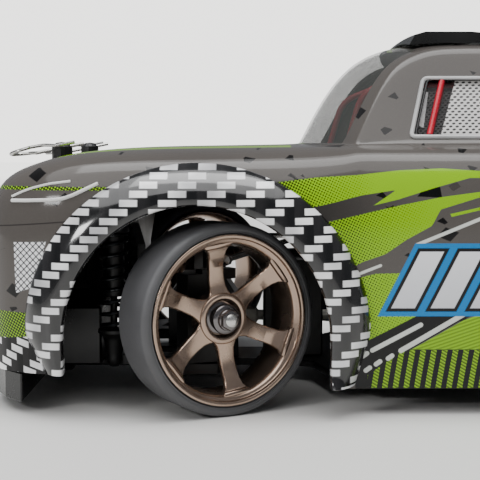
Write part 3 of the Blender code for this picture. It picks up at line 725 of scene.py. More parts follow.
    def ends(self, graph: Graph, x: Signal, y: Signal, z: Signal, colour: Signal) -> Signal:
        """Nose and tail prints, and the stripes along the top.

        Args:
            graph: The material.
            x: Place along the car, in metres.
            y: Place across the car, in metres.
            z: Height, in metres.
            colour: The colour beneath.

        Returns:
            The finished colour.
        """
        wide = y.size()
        flank = wide.above(0.045)
        joint = (z - (x - 0.143) * -0.082 - 0.0626).size().below(0.00018) * x.above(0.1435) * flank
        colour = graph.mix(joint, colour, paint_colour(46, 43, 42))
        corner = graph.outline(x, z, [(161.0, 55.7), (150.0, 56.2), (153.5, 42.0), (160.4, 39.5)])
        wire = graph.mix(self.lattice(x, z, 0.0021), paint_colour(226, 226, 228), self.ink)
        colour = graph.mix(corner.below(0.0) * flank, colour, wire)

        nose_band = x.above(0.1475) * z.below(0.0265 - (x - 0.150) * 0.12)
        tail_band = x.below(-0.1475) * z.below(0.030)
        colour = graph.mix(nose_band | tail_band, colour, woven(graph, x - wide * 0.7, z - x * 0.3))
        mouth = x.above(0.160) * wide.below(0.041) * z.above(0.031) * z.below(0.048)
        mesh = graph.mix(self.lattice(y, z, 0.0034), paint_colour(10, 10, 10), paint_colour(120, 118, 116))
        colour = graph.mix(mouth, colour, mesh)
        lamp = x.below(-0.1725) * z.above(0.062) * z.below(0.074) * wide.above(0.030) * wide.below(0.060)
        colour = graph.mix(lamp, colour, paint_colour(170, 12, 10))
        edge_stripe = z.above(0.0825) * wide.above(0.050) * wide.below(0.0625) * x.above(0.072)
        centre_stripe = z.above(0.084) * wide.below(0.020) * wide.above(0.011)
        return graph.mix((edge_stripe | centre_stripe) * x.below(0.168), colour, self.lime)

    def material(self) -> bpy.types.Material:
        """Build the node material.

        Returns:
            The material.
        """
        graph = Graph(self.name)
        x, y, z = graph.place()
        cloud = graph.noise(14.0, 3.0)
        middle = x.size().below(self.half_between_arches)
        colour = self.base_coat(graph, cloud)
        colour = self.sweeps(graph, x, z, middle, colour)
        colour = self.skirt(graph, x, z, middle, colour)
        colour = self.strokes(graph, x, z, colour)
        colour = self.badge(graph, x, z, colour)
        colour = self.ends(graph, x, y, z, colour)
        ripple = graph.noise(90.0, 2.0)
        rough = (cloud - 0.5) * 0.05 + (ripple - 0.5) * 0.05 + 0.12
        return graph.finish(Base_Color=colour, Roughness=rough, Coat_Weight=0.06, IOR=1.34,
                            Normal=graph.bump(ripple, 0.04, 0.0004))


class Palette:
    """Every finish of the car, made once."""

    def __init__(self) -> None:
        """Build the materials."""
        self.livery = Livery("livery").material()
        self.lining = Moulded("shell_lining", paint_colour(5, 5, 5), 0.6).material()
        self.flare = WovenGloss("flare_twill").material()
        self.smoked = Smoked("smoked_screen").material()
        self.net = WindowNet("window_net").material()
        self.frame_line = Moulded("window_frame", paint_colour(188, 188, 188), 0.25, 900.0, 0.05).material()
        # Painted highlight: the headlamp ridges are moulded in the body, and this pale finish stands for the
        # light they catch.
        self.highlight = Moulded("lamp_line", paint_colour(226, 226, 224), 0.2, 900.0, 0.04).material()
        self.red = Moulded("cage_red", paint_colour(196, 22, 46), 0.3, 900.0, 0.06).material()
        self.trim = Moulded("trim_black", paint_colour(14, 14, 14), 0.3, 1500.0, 0.08).material()
        self.nylon = Moulded("chassis_nylon", paint_colour(15, 15, 16), 0.42, 2200.0, 0.2).material()
        self.rubber = Moulded("slick_rubber", paint_colour(80, 80, 82), 0.5, 1400.0, 0.16, 0.3).material()
        self.bronze = Plated("bronze_plating", paint_colour(172, 150, 134), 0.24, (60.0, 60.0, 60.0), 0.9,
                             0.02).material()
        self.chrome = Plated("dark_chrome", paint_colour(120, 116, 116), 0.18).material()
        self.steel = Plated("bright_steel", paint_colour(205, 204, 200), 0.22).material()
        self.spring = Plated("spring_coating", paint_colour(60, 62, 64), 0.22).material()
        self.can = Plated("motor_can", paint_colour(150, 150, 155), 0.3, (900.0, 40.0, 40.0)).material()
        self.wrap = Moulded("battery_wrap", paint_colour(24, 62, 120), 0.3, 700.0, 0.08).material()
        self.acetal = Moulded("gear_acetal", paint_colour(222, 220, 210), 0.42, 1600.0, 0.1).material()


# --------------------------------------------------------------------- mesh tools
class Former:
    """Builds finished meshes, with their place in the mesh."""

    @staticmethod
    def chain(shape: bmesh.types.BMesh, points: Sequence[Any], closed: bool = False) -> list[Any]:
        """A run of edges through points.

        Args:
            shape: The mesh under construction.
            points: Places of its vertices.
            closed: Whether the run comes back to its start.

        Returns:
            The new edges.
        """
        verts = [shape.verts.new(point) for point in points]
        pairs = list(zip(verts, verts[1:])) + ([(verts[-1], verts[0])] if closed else [])
        return [shape.edges.new(pair) for pair in pairs]

    @staticmethod
    def loft(shape: bmesh.types.BMesh, rows: Sequence[Sequence[Any]],
             closed: bool = False) -> list[list[Any]]:
        """Chains of edges, each bridged to the next.

        Args:
            shape: The mesh under construction.
            rows: Points of each chain.
            closed: Whether each chain is a ring.

        Returns:
            The chains' edges.
        """
        chains = [Former.chain(shape, row, closed) for row in rows]
        for first, second in zip(chains, chains[1:]):
            bmesh.ops.bridge_loops(shape, edges=first + second)
        return chains

    @staticmethod
    def slab(shape: bmesh.types.BMesh, points: Sequence[Any], depth: Triple) -> None:
        """Fill a ring of points and extrude it.

        Args:
            shape: The mesh under construction.
            points: The ring.
            depth: How far to extrude it.
        """
        face = bmesh.ops.contextual_create(shape, geom=Former.chain(shape, points, closed=True))["faces"]
        grown = bmesh.ops.extrude_face_region(shape, geom=face)["geom"]
        moved = [item for item in grown if isinstance(item, bmesh.types.BMVert)]
        bmesh.ops.translate(shape, vec=depth, verts=moved)

    @staticmethod
    def turned(shape: bmesh.types.BMesh, profile: Sequence[Pair], steps: int, closed: bool = False) -> None:
        """Spin (radius, height) points about Z.

        Args:
            shape: The mesh under construction.
            profile: The points, in metres.
            steps: Faces round the turn.
            closed: Whether the profile is a ring.
        """
        edges = Former.chain(shape, [(radius, 0.0, height) for radius, height in profile], closed)
        verts = list(dict.fromkeys(vert for edge in edges for vert in edge.verts))
        bmesh.ops.spin(shape, geom=verts + edges, cent=(0, 0, 0), axis=(0, 0, 1), angle=2 * math.pi,
                       steps=steps, use_merge=True)
        bmesh.ops.remove_doubles(shape, verts=shape.verts, dist=1e-7)

    @staticmethod
    def piece(name: str, shape: bmesh.types.BMesh, material: bpy.types.Material,
              matrix: Matrix | None = None, smooth: float = 32.0, normals: bool = True) -> bpy.types.Object:
        """Turn a bmesh into a finished piece.

        Args:
            name: The piece's name.
            shape: The mesh, which is used up.
            material: Its finish.
            matrix: Where its own axes stand on the car.
            smooth: Edges sharper than this many degrees stay sharp.
            normals: Whether to recalculate the normals outwards.

        Returns:
            The object.
        """
        if matrix is not None:
            bmesh.ops.transform(shape, matrix=matrix, verts=shape.verts)
        if normals:
            bmesh.ops.recalc_face_normals(shape, faces=shape.faces)
        mesh = bpy.data.meshes.new(name)
        shape.to_mesh(mesh)
        shape.free()
        mesh.materials.append(material)
        mesh.shade_smooth()
        mesh.set_sharp_from_angle(angle=math.radians(smooth))
        made = bpy.data.objects.new(name, mesh)
        bpy.context.scene.collection.objects.link(made)
        return made

    @staticmethod
    def apply(made: bpy.types.Object, smooth: float = 32.0) -> bpy.types.Object:
        """Apply an object's modifiers to its mesh.

        Args:
            made: The object.
            smooth: Edges sharper than this many degrees stay sharp.

        Returns:
            The same object.
        """
        bpy.context.view_layer.update()
        graph = bpy.context.evaluated_depsgraph_get()
        mesh = bpy.data.meshes.new_from_object(made.evaluated_get(graph), preserve_all_data_layers=True,
                                               depsgraph=graph)
        made.modifiers.clear()
        made.data = mesh
        mesh.shade_smooth()
        mesh.set_sharp_from_angle(angle=math.radians(smooth))
        return made

    @staticmethod
    def modifier(made: bpy.types.Object, kind: str, **settings: Any) -> None:
        """Add a modifier and set it.

        Args:
            made: The object.
            kind: The modifier's type.
            **settings: Its attributes.
        """
        added = made.modifiers.new(kind.lower(), kind)
        for key, value in settings.items():
            setattr(added, key, value)

    @staticmethod
    def cut(made: bpy.types.Object, tool: bpy.types.Object) -> None:
        """Cut a closed piece by a closed tool.

        Args:
            made: The piece.
            tool: The tool, which is removed.
        """
        Former.modifier(made, "BOOLEAN", object=tool, operation="DIFFERENCE", solver="EXACT")
        Former.apply(made)
        bpy.data.objects.remove(tool, do_unlink=True)

    @staticmethod
    def tube(name: str, points: Sequence[Any], radius: float, material: bpy.types.Material,
             closed: bool = False, sides: int = 10) -> bpy.types.Object:
        """A round wire through points.

        Args:
            name: The piece's name.
            points: Its centre line.
            radius: Half its thickness.
            material: Its finish.
            closed: Whether it is a ring; its ends are capped if not.
            sides: Faces round it.

        Returns:
            The object.
        """
        shape = bmesh.new()
        places = [Vector(point) for point in points]
        count = len(places)
        angles = [2 * math.pi * i / sides for i in range(sides)]
        rows = []
        side = Vector((0, 0, 1))
        for index, place in enumerate(places):
            if closed:
                run = places[(index + 1) % count] - places[index - 1]
            else:
                run = places[min(index + 1, count - 1)] - places[max(index - 1, 0)]
            run.normalize()
            if index == 0 and abs(run.dot(side)) > 0.9:
                side = Vector((0, 1, 0))
            side = (side - run * side.dot(run)).normalized()
            other = run.cross(side)
            rows.append([place + (side * math.cos(a) + other * math.sin(a)) * radius for a in angles])
        chains = Former.loft(shape, rows, closed=True)
        if closed:
            bmesh.ops.bridge_loops(shape, edges=chains[-1] + chains[0])
        else:
            for chain in (chains[0], chains[-1]):
                bmesh.ops.contextual_create(shape, geom=chain)
        return Former.piece(name, shape, material)


def rounded(corners: Sequence[Sequence[float]], radius: float, steps: int = 5,
            closed: bool = True) -> list[Vector]:
    """Round a polyline's corners with arcs.

    Args:
        corners: Corner places.
        radius: How far back along each run the curve starts.
        steps: Points for each corner.
        closed: Whether the line is closed.

    Returns:
        The rounded line's points.
    """
    places = [Vector(corner) for corner in corners]
    result: list[Vector] = []
    count = len(places)
    for index, place in enumerate(places):
        if not closed and index in (0, count - 1):
            result.append(place)
            continue
        before = places[index - 1]
        after = places[(index + 1) % count]
        start = place + (before - place).normalized() * min(radius, (before - place).length * 0.45)
        end = place + (after - place).normalized() * min(radius, (after - place).length * 0.45)
        for step in range(steps + 1):
            t = step / steps
            result.append(start * (1 - t) ** 2 + place * 2 * t * (1 - t) + end * t ** 2)
    return result


def outward_axes(end: End, side: Side) -> Matrix:
    """Axes of a wheel: Z runs outwards from the tyre's inner face.

    Args:
        end: Which axle.
        side: Which side.

    Returns:
        The wheel's matrix at rest.
    """
    turn = STEER_REST if end is End.FRONT else 0.0
    return (Matrix.Translation((end.value * AXLE_X, side.value * KINGPIN_Y, WHEEL_RADIUS))
            @ Matrix.Rotation(turn, 4, "Z")
            @ Matrix.Translation((0, side.value * WHEEL_INNER_FACE, 0))
            @ Matrix.Rotation(-side.value * math.pi / 2, 4, "X"))


# --------------------------------------------------------------------- body shell
@dataclass
class BodyShell:
    """The moulded shell, its screens and its flares."""

    palette: Palette
    thickness: float = 0.0011
    cabin_base_y: float = 0.068
    cabin_base_z: float = 0.0868
    cabin_lean: float = 15 / 29
    roof_half_width: float = 0.053
    roof_crown: float = 0.0035
    cabin_ends: Pair = (0.067, -0.098)
    glass_edge_limit: float = 0.0662
    half_width_over_all: float = 0.0897
    pane_thickness: float = 0.0008
    screen_rows: Pair = (0.067, 0.036)
    rear_rows: Pair = (-0.050, -0.094)
    cabin: tuple[Pair, ...] = (
        (0.067, 0.0873), (0.061, 0.0990), (0.0548, 0.1090), (0.048, 0.1162), (0.0415, 0.1199),
        (0.036, 0.1217), (0.030, 0.1226), (0.020, 0.1231), (0.000, 0.1232), (-0.025, 0.1217),
        (-0.045, 0.1172), (-0.070, 0.1045), (-0.094, 0.0900), (-0.098, 0.0880))
    deck: tuple[Pair, ...] = (
        (0.175, 0.058), (0.1735, 0.067), (0.169, 0.0752), (0.160, 0.0802), (0.148, 0.0838), (0.130, 0.0860),
        (0.067, 0.0870), (-0.098, 0.0872), (-0.154, 0.0872), (-0.168, 0.0925), (-0.172, 0.0925),
        (-0.175, 0.084))
    width: tuple[Pair, ...] = (
        (0.175, 0.050), (0.1735, 0.060), (0.169, 0.071), (0.160, 0.079), (0.148, 0.0838), (0.130, 0.086),
        (0.075, 0.086), (0.050, 0.0815), (-0.050, 0.0815), (-0.075, 0.0865), (-0.140, 0.0865),
        (-0.160, 0.083), (-0.170, 0.077), (-0.175, 0.068))
    shoulder: tuple[Pair, ...] = (
        (0.175, 0.042), (0.1735, 0.051), (0.169, 0.061), (0.160, 0.066), (0.148, 0.069), (0.130, 0.070),
        (0.067, 0.070), (-0.098, 0.070), (-0.140, 0.072), (-0.170, 0.068), (-0.175, 0.062))
    sill: tuple[Pair, ...] = (
        (0.175, 0.014), (0.070, 0.014), (0.062, 0.0097), (0.050, 0.0086), (-0.050, 0.0086), (-0.062, 0.0097),
        (-0.070, 0.018), (-0.175, 0.018))
    bow: tuple[Pair, ...] = (
        (0.120, 0.0), (0.067, 0.0155), (0.036, 0.0155), (0.020, 0.006), (0.000, 0.0), (-0.050, -0.006),
        (-0.070, -0.012), (-0.098, -0.012), (-0.125, 0.0))
    stations: tuple[float, ...] = (
        0.175, 0.1742, 0.1718, 0.167, 0.160, 0.148, 0.136, 0.120, 0.100, 0.084, 0.0705, 0.067, 0.0655, 0.061,
        0.0548, 0.048, 0.0415, 0.036, 0.030, 0.020, 0.004, -0.012, -0.028, -0.042, -0.050, -0.062, -0.073,
        -0.084, -0.094, -0.098, -0.104, -0.118, -0.136, -0.150, -0.158, -0.164, -0.168, -0.1715, -0.174,
        -0.175)

    @staticmethod
    def read(stops: Sequence[Pair], x: float) -> float:
        """Value of a front-to-back table at x, straight between its stops.

        Args:
            stops: (x, value) pairs, front first.
            x: Place along the car.

        Returns:
            The value.
        """
        if x >= stops[0][0]:
            return stops[0][1]
        for (x0, v0), (x1, v1) in zip(stops, stops[1:]):
            if x >= x1:
                return v0 + (v1 - v0) * (x0 - x) / (x0 - x1)
        return stops[-1][1]

    def cabin_edge(self, crown: float) -> Pair:
        """Where the roof or glass meets the leaning side glass.

        Args:
            crown: Height on the centre line.

        Returns:
            The edge's (y, z).
        """
        y, z = self.roof_half_width, crown
        share = min(1.0, (crown - self.cabin_base_z) / 0.02)
        for _ in range(12):
            z = crown - self.roof_crown * (y / self.roof_half_width) ** 2 * share
            y = self.cabin_base_y - max(0.0, z - self.cabin_base_z) * self.cabin_lean
        return min(y, self.glass_edge_limit), z

    def section(self, station: float) -> list[Triple]:
        """Half a cross-section, from the centre line out and down to the sill.

        Args:
            station: Its place along the car on the centre line.

        Returns:
            The section's points.
        """
        deck = self.read(self.deck, station)
        shoulder = self.read(self.shoulder, station)
        if self.cabin_ends[1] <= station <= self.cabin_ends[0]:
            crown = max(self.read(self.cabin, station), deck)
            edge_y, edge_z = self.cabin_edge(crown)
            base_y, base_z = self.cabin_base_y, deck - 0.0004
        else:
            crown = deck
            edge_y, edge_z = shoulder * 0.86, crown - 0.0004
            base_y, base_z = shoulder * 0.96, crown - 0.0009
        bow = self.read(self.bow, station)
        side_x = station - bow
        side_y = self.read(self.width, side_x)
        low_z = self.read(self.sill, side_x)
        top_z = deck - (0.0165 if station < 0.170 else 0.012)
        sill_y = side_y - (0.0035 if abs(side_x) < 0.055 else 0.0005)
        drop = crown - edge_z
        points = [(0.0, crown), (edge_y * 0.35, crown - 0.12 * drop), (edge_y * 0.68, crown - 0.45 * drop),
                  (edge_y * 0.92, crown - 0.85 * drop), (edge_y, edge_z - 0.0004),
                  (edge_y + 0.12 * (base_y - edge_y), edge_z + 0.12 * (base_z - edge_z) - 0.0004),
                  (edge_y + 0.88 * (base_y - edge_y), edge_z + 0.88 * (base_z - edge_z)), (base_y, base_z),
                  (shoulder + 0.30 * (side_y - shoulder), base_z - 0.0014),
                  (shoulder + 0.74 * (side_y - shoulder), base_z - 0.0060), (side_y - 0.0006, top_z),
                  (side_y, top_z - 0.010), (side_y, low_z + 0.35 * (top_z - low_z)), (sill_y, low_z + 0.004),
                  (sill_y, low_z)]
        return [(station - bow * min(1.0, (y / self.cabin_base_y) ** 2), y, z) for y, z in points]

    def surface(self) -> bpy.types.Object:
        """The fine open surface, with the two screens in slots of their own.

        Returns:
            The skin, before it gets a thickness.
        """
        shape = bmesh.new()
        crease = shape.edges.layers.float.new("crease_edge")
        rows = [self.section(station) for station in self.stations]
        chains = Former.loft(shape, rows)
        row_of = {}
        for index, chain in enumerate(chains):
            for edge in chain:
                for vert in edge.verts:
                    row_of[vert] = index
        for face in shape.faces:
            line = [row_of[vert] for vert in face.verts]
            front, back = self.stations[min(line)], self.stations[max(line)]
            reach = max(abs(vert.co.y) / (self.glass_limit(self.stations[row_of[vert]]) + 1e-9)
                        for vert in face.verts)
            for part, (fore, aft) in ((SkinPart.WINDSCREEN, self.screen_rows),
                                      (SkinPart.REAR_WINDOW, self.rear_rows)):
                if reach <= 1.001 and front <= fore + 1e-6 and back >= aft - 1e-6:
                    face.material_index = part.value
        for chain in (chains[0], chains[-1]):
            self.cap(shape, chain)
        for edge in chains[self.stations.index(self.cabin_ends[0])]:
            if max(vert.co.y for vert in edge.verts) < 0.067:
                edge[crease] = 0.8
        half = shape.verts[:] + shape.edges[:] + shape.faces[:]
        bmesh.ops.mirror(shape, geom=half, axis="Y", merge_dist=1e-6)
        bmesh.ops.remove_doubles(shape, verts=shape.verts, dist=1e-6)
        bmesh.ops.recalc_face_normals(shape, faces=shape.faces)
        highest = max(shape.faces, key=lambda face: face.calc_center_median().z)
        highest.normal_update()
        if highest.normal.z < 0:
            bmesh.ops.reverse_faces(shape, faces=shape.faces)
        made = Former.piece("body_shell_skin", shape, self.palette.livery, normals=False)
        for extra in (self.palette.lining, self.palette.smoked, self.palette.smoked):
            made.data.materials.append(extra)
        Former.modifier(made, "SUBSURF", levels=2, render_levels=2)
        return Former.apply(made)

    def glass_limit(self, station: float) -> float:
        """Half-width of the screens at a station, which is the section's fourth point."""
        return self.section(station)[3][1]

    def cap(self, shape: bmesh.types.BMesh, chain: list[Any]) -> None:
        """Close one end of the half shell down to its bottom edge, in level strips.

        Args:
            shape: The mesh under construction.
            chain: The end section's edges.
        """
        ends = dict.fromkeys(vert for edge in chain for vert in edge.verts)
        verts = sorted(ends, key=lambda vert: -vert.co.z)
        low_count = 6
        outer = verts[-low_count:]
        centre = [shape.verts.new((vert.co.x, 0.0, vert.co.z)) for vert in outer]
        for index in range(low_count - 1):
            shape.faces.new((outer[index], outer[index + 1], centre[index + 1], centre[index]))
        top = sorted(verts[:-low_count] + [outer[0]], key=lambda vert: vert.co.y)
        shape.faces.new([*top, centre[0]])

    def split(self, skin: bpy.types.Object, part: SkinPart, name: str,
              material: bpy.types.Material) -> bpy.types.Object:
        """Copy one part of the skin into a new object.

        Args:
            skin: The whole skin.
            part: The part to copy.
            name: The new piece's name.
            material: Its finish.

        Returns:
            The new object.
        """
        shape = bmesh.new()
        shape.from_mesh(skin.data)
        unwanted = [face for face in shape.faces if face.material_index != part.value]
        bmesh.ops.delete(shape, geom=unwanted, context="FACES")
        for face in shape.faces:
            face.material_index = 0
        return Former.piece(name, shape, material, normals=False)

    def arch_tool(self, end: End) -> bpy.types.Object:
        """Cutter for both arches at one end, hidden under the flares.

        Args:
            end: Which end.

        Returns:
            The tool.
        """
        radius = ARCH_RADIUS + 0.0035
        shape = bmesh.new()
        points = [(end.value * AXLE_X + radius * math.cos(math.pi * i / 48), -0.12,
                   ARCH_CENTRE_Z + radius * math.sin(math.pi * i / 48)) for i in range(49)]
        points = [(points[0][0], -0.12, 0.0), *points, (points[-1][0], -0.12, 0.0)]
        Former.slab(shape, points, (0, 0.24, 0))
        return Former.piece("arch_tool", shape, self.palette.lining)

    def side_glass_y(self, z: float) -> float:
        """Half-width of the cabin at a height."""
        return self.cabin_base_y - (z - self.cabin_base_z) * self.cabin_lean

    def window_corners(self) -> list[Pair]:
        """Corners of the side window as (x, z)."""
        return [(0.0335, 0.0892), (0.0283, 0.1087), (-0.034, 0.1087), (-0.052, 0.0892)]

    def window_line(self, side: Side, shrink: float, lift: float) -> list[Vector]:
        """The side window's rounded outline on the leaning side glass.

        Args:
            side: Which side.
            shrink: How far inside the opening's edge.
            lift: How far outside the glass.

        Returns:
            The outline's points.
        """
        line = rounded([(x, 0.0, z) for x, z in self.window_corners()], 0.0016)
        centre = sum(line, Vector()) / len(line)
        result = []
        for place in line:
            inner = place + (centre - place).normalized() * shrink
            y = self.side_glass_y(inner.z) + lift
            result.append(Vector((inner.x, side.value * y, inner.z)))
        return result

    def window_tool(self, side: Side) -> bpy.types.Object:
        """Cutter for one side window.

        Args:
            side: Which side.

        Returns:
            The tool.
        """
        shape = bmesh.new()
        line = self.window_line(side, 0.0, 0.0)
        rows = [[(p.x, side.value * y, p.z) for p in line] for y in (0.045, 0.085)]
        chains = Former.loft(shape, rows, closed=True)
        for chain in chains:
            bmesh.ops.contextual_create(shape, geom=chain)
        return Former.piece("window_tool", shape, self.palette.lining)

    def side_window(self, side: Side) -> None:
        """Net pane, the bar behind it, its pale frame and its seal.

        Args:
            side: Which side.
        """
        word = side.name.lower()
        shape = bmesh.new()
        Former.slab(shape, self.window_line(side, -0.0012, -0.0012), (0, -side.value * 0.0006, 0))
        pane = Former.piece(f"{word}_window_pane", shape, self.palette.net)
        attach(pane, "chassis")
        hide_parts(f"{word}_window_net")
        ends = [(x, side.value * (self.side_glass_y(z) - 0.0004), z)
                for x, z in ((0.0272, 0.0898), (0.0219, 0.1078))]
        brace = Former.tube(f"{word}_window_brace", ends, 0.0010, self.palette.red, sides=12)
        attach(brace, "chassis")
        for name, shrink, radius, finish in (("frame", 0.0002, 0.00075, self.palette.frame_line),
                                             ("seal", 0.0016, 0.0004, self.palette.trim)):
            line = Former.tube(f"{word}_window_{name}", self.window_line(side, shrink, 0.0001), radius,
                               finish, closed=True)
            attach(line, "chassis")

    def flare_line(self, end: End) -> list[tuple[Vector, Vector, float]]:
        """The arch's edge, from the sill's side round to the bumper's.

        Args:
            end: Which end.

        Returns:
            (place, outward direction, band width) along the edge.
        """
        centre = Vector((end.value * AXLE_X, 0, ARCH_CENTRE_Z))
        inner_foot = 0.0102
        outer_foot = 0.0145 if end is End.FRONT else 0.0185
        line = []
        for step in range(7):
            t = step / 6
            z = inner_foot + (ARCH_CENTRE_Z - inner_foot) * t
            place = Vector((centre.x - end.value * ARCH_RADIUS, 0, z))
            line.append((place, Vector((-end.value, 0, 0)), 0.0085 + 0.0045 * t))
        for step in range(1, 56):
            angle = math.pi * (1 - step / 56)
            way = Vector((end.value * math.cos(angle), 0, math.sin(angle)))
            line.append((centre + way * ARCH_RADIUS, way, 0.0133))
        for step in range(6):
            t = step / 5
            z = ARCH_CENTRE_Z + (outer_foot - ARCH_CENTRE_Z) * t
            place = Vector((centre.x + end.value * ARCH_RADIUS, 0, z))
            line.append((place, Vector((end.value, 0, 0)), 0.0125 - 0.0065 * t))
        return line

    def flare(self, end: End, side: Side, tree: BVHTree) -> None:
        """One raised arch band, laid on the skin at its outer edge.

        Args:
            end: Which end.
            side: Which side.
            tree: The skin, for casting rays.
        """
        line = self.flare_line(end)
        rows, acrosses = [], []
        for place, way, band in line:
            edge_y = self.skin_y(tree, side, place + way * band)
            skin_y = self.skin_y(tree, side, place)
            lip = min(self.half_width_over_all, max(skin_y + 0.0048, edge_y + 0.004))
            row = [(1.0, edge_y - 0.0012), (1.0, edge_y + 0.0004), (0.97, edge_y + 0.0011)]
            for share in (0.85, 0.68, 0.5, 0.32, 0.16):
                rise = math.sin(math.pi / 2 * min(1.0, (1 - share) / 0.8)) ** 0.9
                row.append((share, edge_y + 0.0011 + (lip - edge_y - 0.0011) * rise))
            row += [(0.05, lip - 0.0001), (0.0, lip - 0.0008), (-0.01, lip - 0.003), (0.02, lip - 0.0075)]
            points = [place + way * band * share + Vector((0, y, 0)) for share, y in row]
            across = [0.0]
            for first, second in zip(points, points[1:]):
                across.append(across[-1] + (second - first).length)
            rows.append([Vector((p.x, side.value * p.y, p.z)) for p in points])
            acrosses.append(across)
        shape = bmesh.new()
        across_layer = shape.verts.layers.float.new("band_across")
        chains = []
        for points, across in zip(rows, acrosses):
            verts = [shape.verts.new(point) for point in points]
            for vert, value in zip(verts, across):
                vert[across_layer] = value
            chains.append([shape.edges.new(pair) for pair in zip(verts, verts[1:])])
        for first, second in zip(chains, chains[1:]):
            bmesh.ops.bridge_loops(shape, edges=first + second)
        bmesh.ops.recalc_face_normals(shape, faces=shape.faces)
        outer = max(shape.faces, key=lambda face: abs(face.calc_center_median().y))
        outer.normal_update()
        if outer.normal.y * side.value < 0:
            bmesh.ops.reverse_faces(shape, faces=shape.faces)
        name = f"{end.name.lower()}_{side.name.lower()}_flare"
        made = Former.piece(name, shape, self.palette.flare, normals=False, smooth=60.0)
        made.data.materials.append(self.palette.lining)
        Former.modifier(made, "SUBSURF", levels=1, render_levels=1)
        Former.modifier(made, "SOLIDIFY", thickness=0.0008, offset=-1.0, material_offset=1)
        Former.apply(made, 60.0)
        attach(made, "chassis")

    @staticmethod
    def skin_y(tree: BVHTree, side: Side, place: Vector) -> float:
        """Half-width of the skin at a place seen from the side.

        Args:
            tree: The skin.
            side: Which side.
            place: The place; its Y is not read.

        Returns:
            The half-width, or the flank's where the skin is missed.
        """
        hit = tree.ray_cast(Vector((place.x, side.value * 0.2, place.z)), Vector((0, -side.value, 0)))
        return abs(hit[0].y) if hit[0] is not None else 0.084

    def lamp_lines(self, side: Side, tree: BVHTree) -> None:
        """Raised lines round the headlamp, laid on the skin; their pale finish is a painted highlight along
        the ridges.

        Args:
            side: Which side.
            tree: The skin, for casting rays.
        """
        upper = [(161.9, 70.2), (158.0, 71.9), (154.8, 73.0), (149.0, 74.4), (142.2, 75.2)]
        lower = [(161.9, 68.9), (157.0, 69.0), (152.3, 69.2), (148.0, 69.3), (144.7, 69.7), (141.5, 70.8),
                 (138.7, 72.1), (133.4, 74.6)]
        for number, line, radius in ((1, upper, 0.00042), (2, lower, 0.0006)):
            places = []
            for x, z in line:
                y = self.skin_y(tree, side, Vector((x / 1000, 0, z / 1000)))
                places.append(Vector((x / 1000, side.value * (y + 0.0001), z / 1000)))
            rib = Former.tube(f"{side.name.lower()}_lamp_line_{number}",
                              rounded(places, 0.002, 3, closed=False), radius, self.palette.highlight)
            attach(rib, "chassis")

    def build(self) -> None:
        """Shell, screens, windows and flares."""
        skin = self.surface()
        shape = bmesh.new()
        shape.from_mesh(skin.data)
        tree = BVHTree.FromBMesh(shape)
        shape.free()
        for part in (SkinPart.WINDSCREEN, SkinPart.REAR_WINDOW):
            node = part.name.lower()
            pane = self.split(skin, part, f"{node}_pane", self.palette.smoked)
            Former.modifier(pane, "SOLIDIFY", thickness=self.pane_thickness, offset=-1.0)
            Former.apply(pane)
            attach(pane, "chassis")
            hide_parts(node)
        body = self.split(skin, SkinPart.PAINT, "painted_shell", self.palette.livery)
        body.data.materials.append(self.palette.lining)
        Former.modifier(body, "SOLIDIFY", thickness=self.thickness, offset=-1.0,
                        material_offset=SkinPart.LINING.value, material_offset_rim=0)
        Former.apply(body)
        for end in End:
            Former.cut(body, self.arch_tool(end))
        for side in Side:
            Former.cut(body, self.window_tool(side))
        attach(body, "chassis")
        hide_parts("body_shell")
        bpy.data.objects.remove(skin, do_unlink=True)
        for side in Side:
            self.side_window(side)
            self.lamp_lines(side, tree)
            for end in End:
                self.flare(end, side, tree)
        LOG.info("body shell, %d faces", len(body.data.polygons))


# -------------------------------------------------------------------- roll cage
@dataclass
class Cabin:
    """Roll cage."""

    palette: Palette
    radius: float = 0.0012
    top: float = 0.1100

    def bar(self, name: str, points: Sequence[Triple]) -> None:
        """One bent bar; the first stands for the whole CAD cage.

        Args:
            name: The bar's name.
            points: Its corners.
        """
        made = Former.tube(name, rounded(points, 0.006, 6, closed=False), self.radius, self.palette.red,
                           sides=14)
        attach(made, "chassis")
        if name == "cage_left_side":
            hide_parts("roll_cage")

    def build(self) -> None:
        """The cage's bars."""
        for side in Side:
            word = side.name.lower()
            s = side.value
            self.bar(f"cage_{word}_side", [(0.0525, s * 0.0430, 0.0845), (0.0470, s * 0.0425, 0.1045),
                                           (0.0290, s * 0.0400, 0.1115), (-0.030, s * 0.0400, self.top),
                                           (-0.036, s * 0.0460, 0.0800)])
            self.bar(f"cage_{word}_door", [(0.0268, s * 0.0560, 0.0860), (0.0255, s * 0.0550, 0.0900),
                                           (0.0205, s * 0.0490, 0.1070), (0.0190, s * 0.0400, self.top)])
        for x, z, half, name in ((0.0288, 0.1113, 0.040, "front_top"), (-0.030, self.top, 0.040, "rear_top"),
                                 (0.0535, 0.0850, 0.0425, "dash"), (-0.0355, 0.0815, 0.0455, "rear_low")):
            self.bar(f"cage_{name}", [(x, -half, z), (x, 0.0, z), (x, half, z)])
        self.bar("cage_rear_brace", [(-0.0305, 0.0395, self.top - 0.001), (-0.033, 0.0, 0.0960),
                                     (-0.0353, -0.0450, 0.0825)])


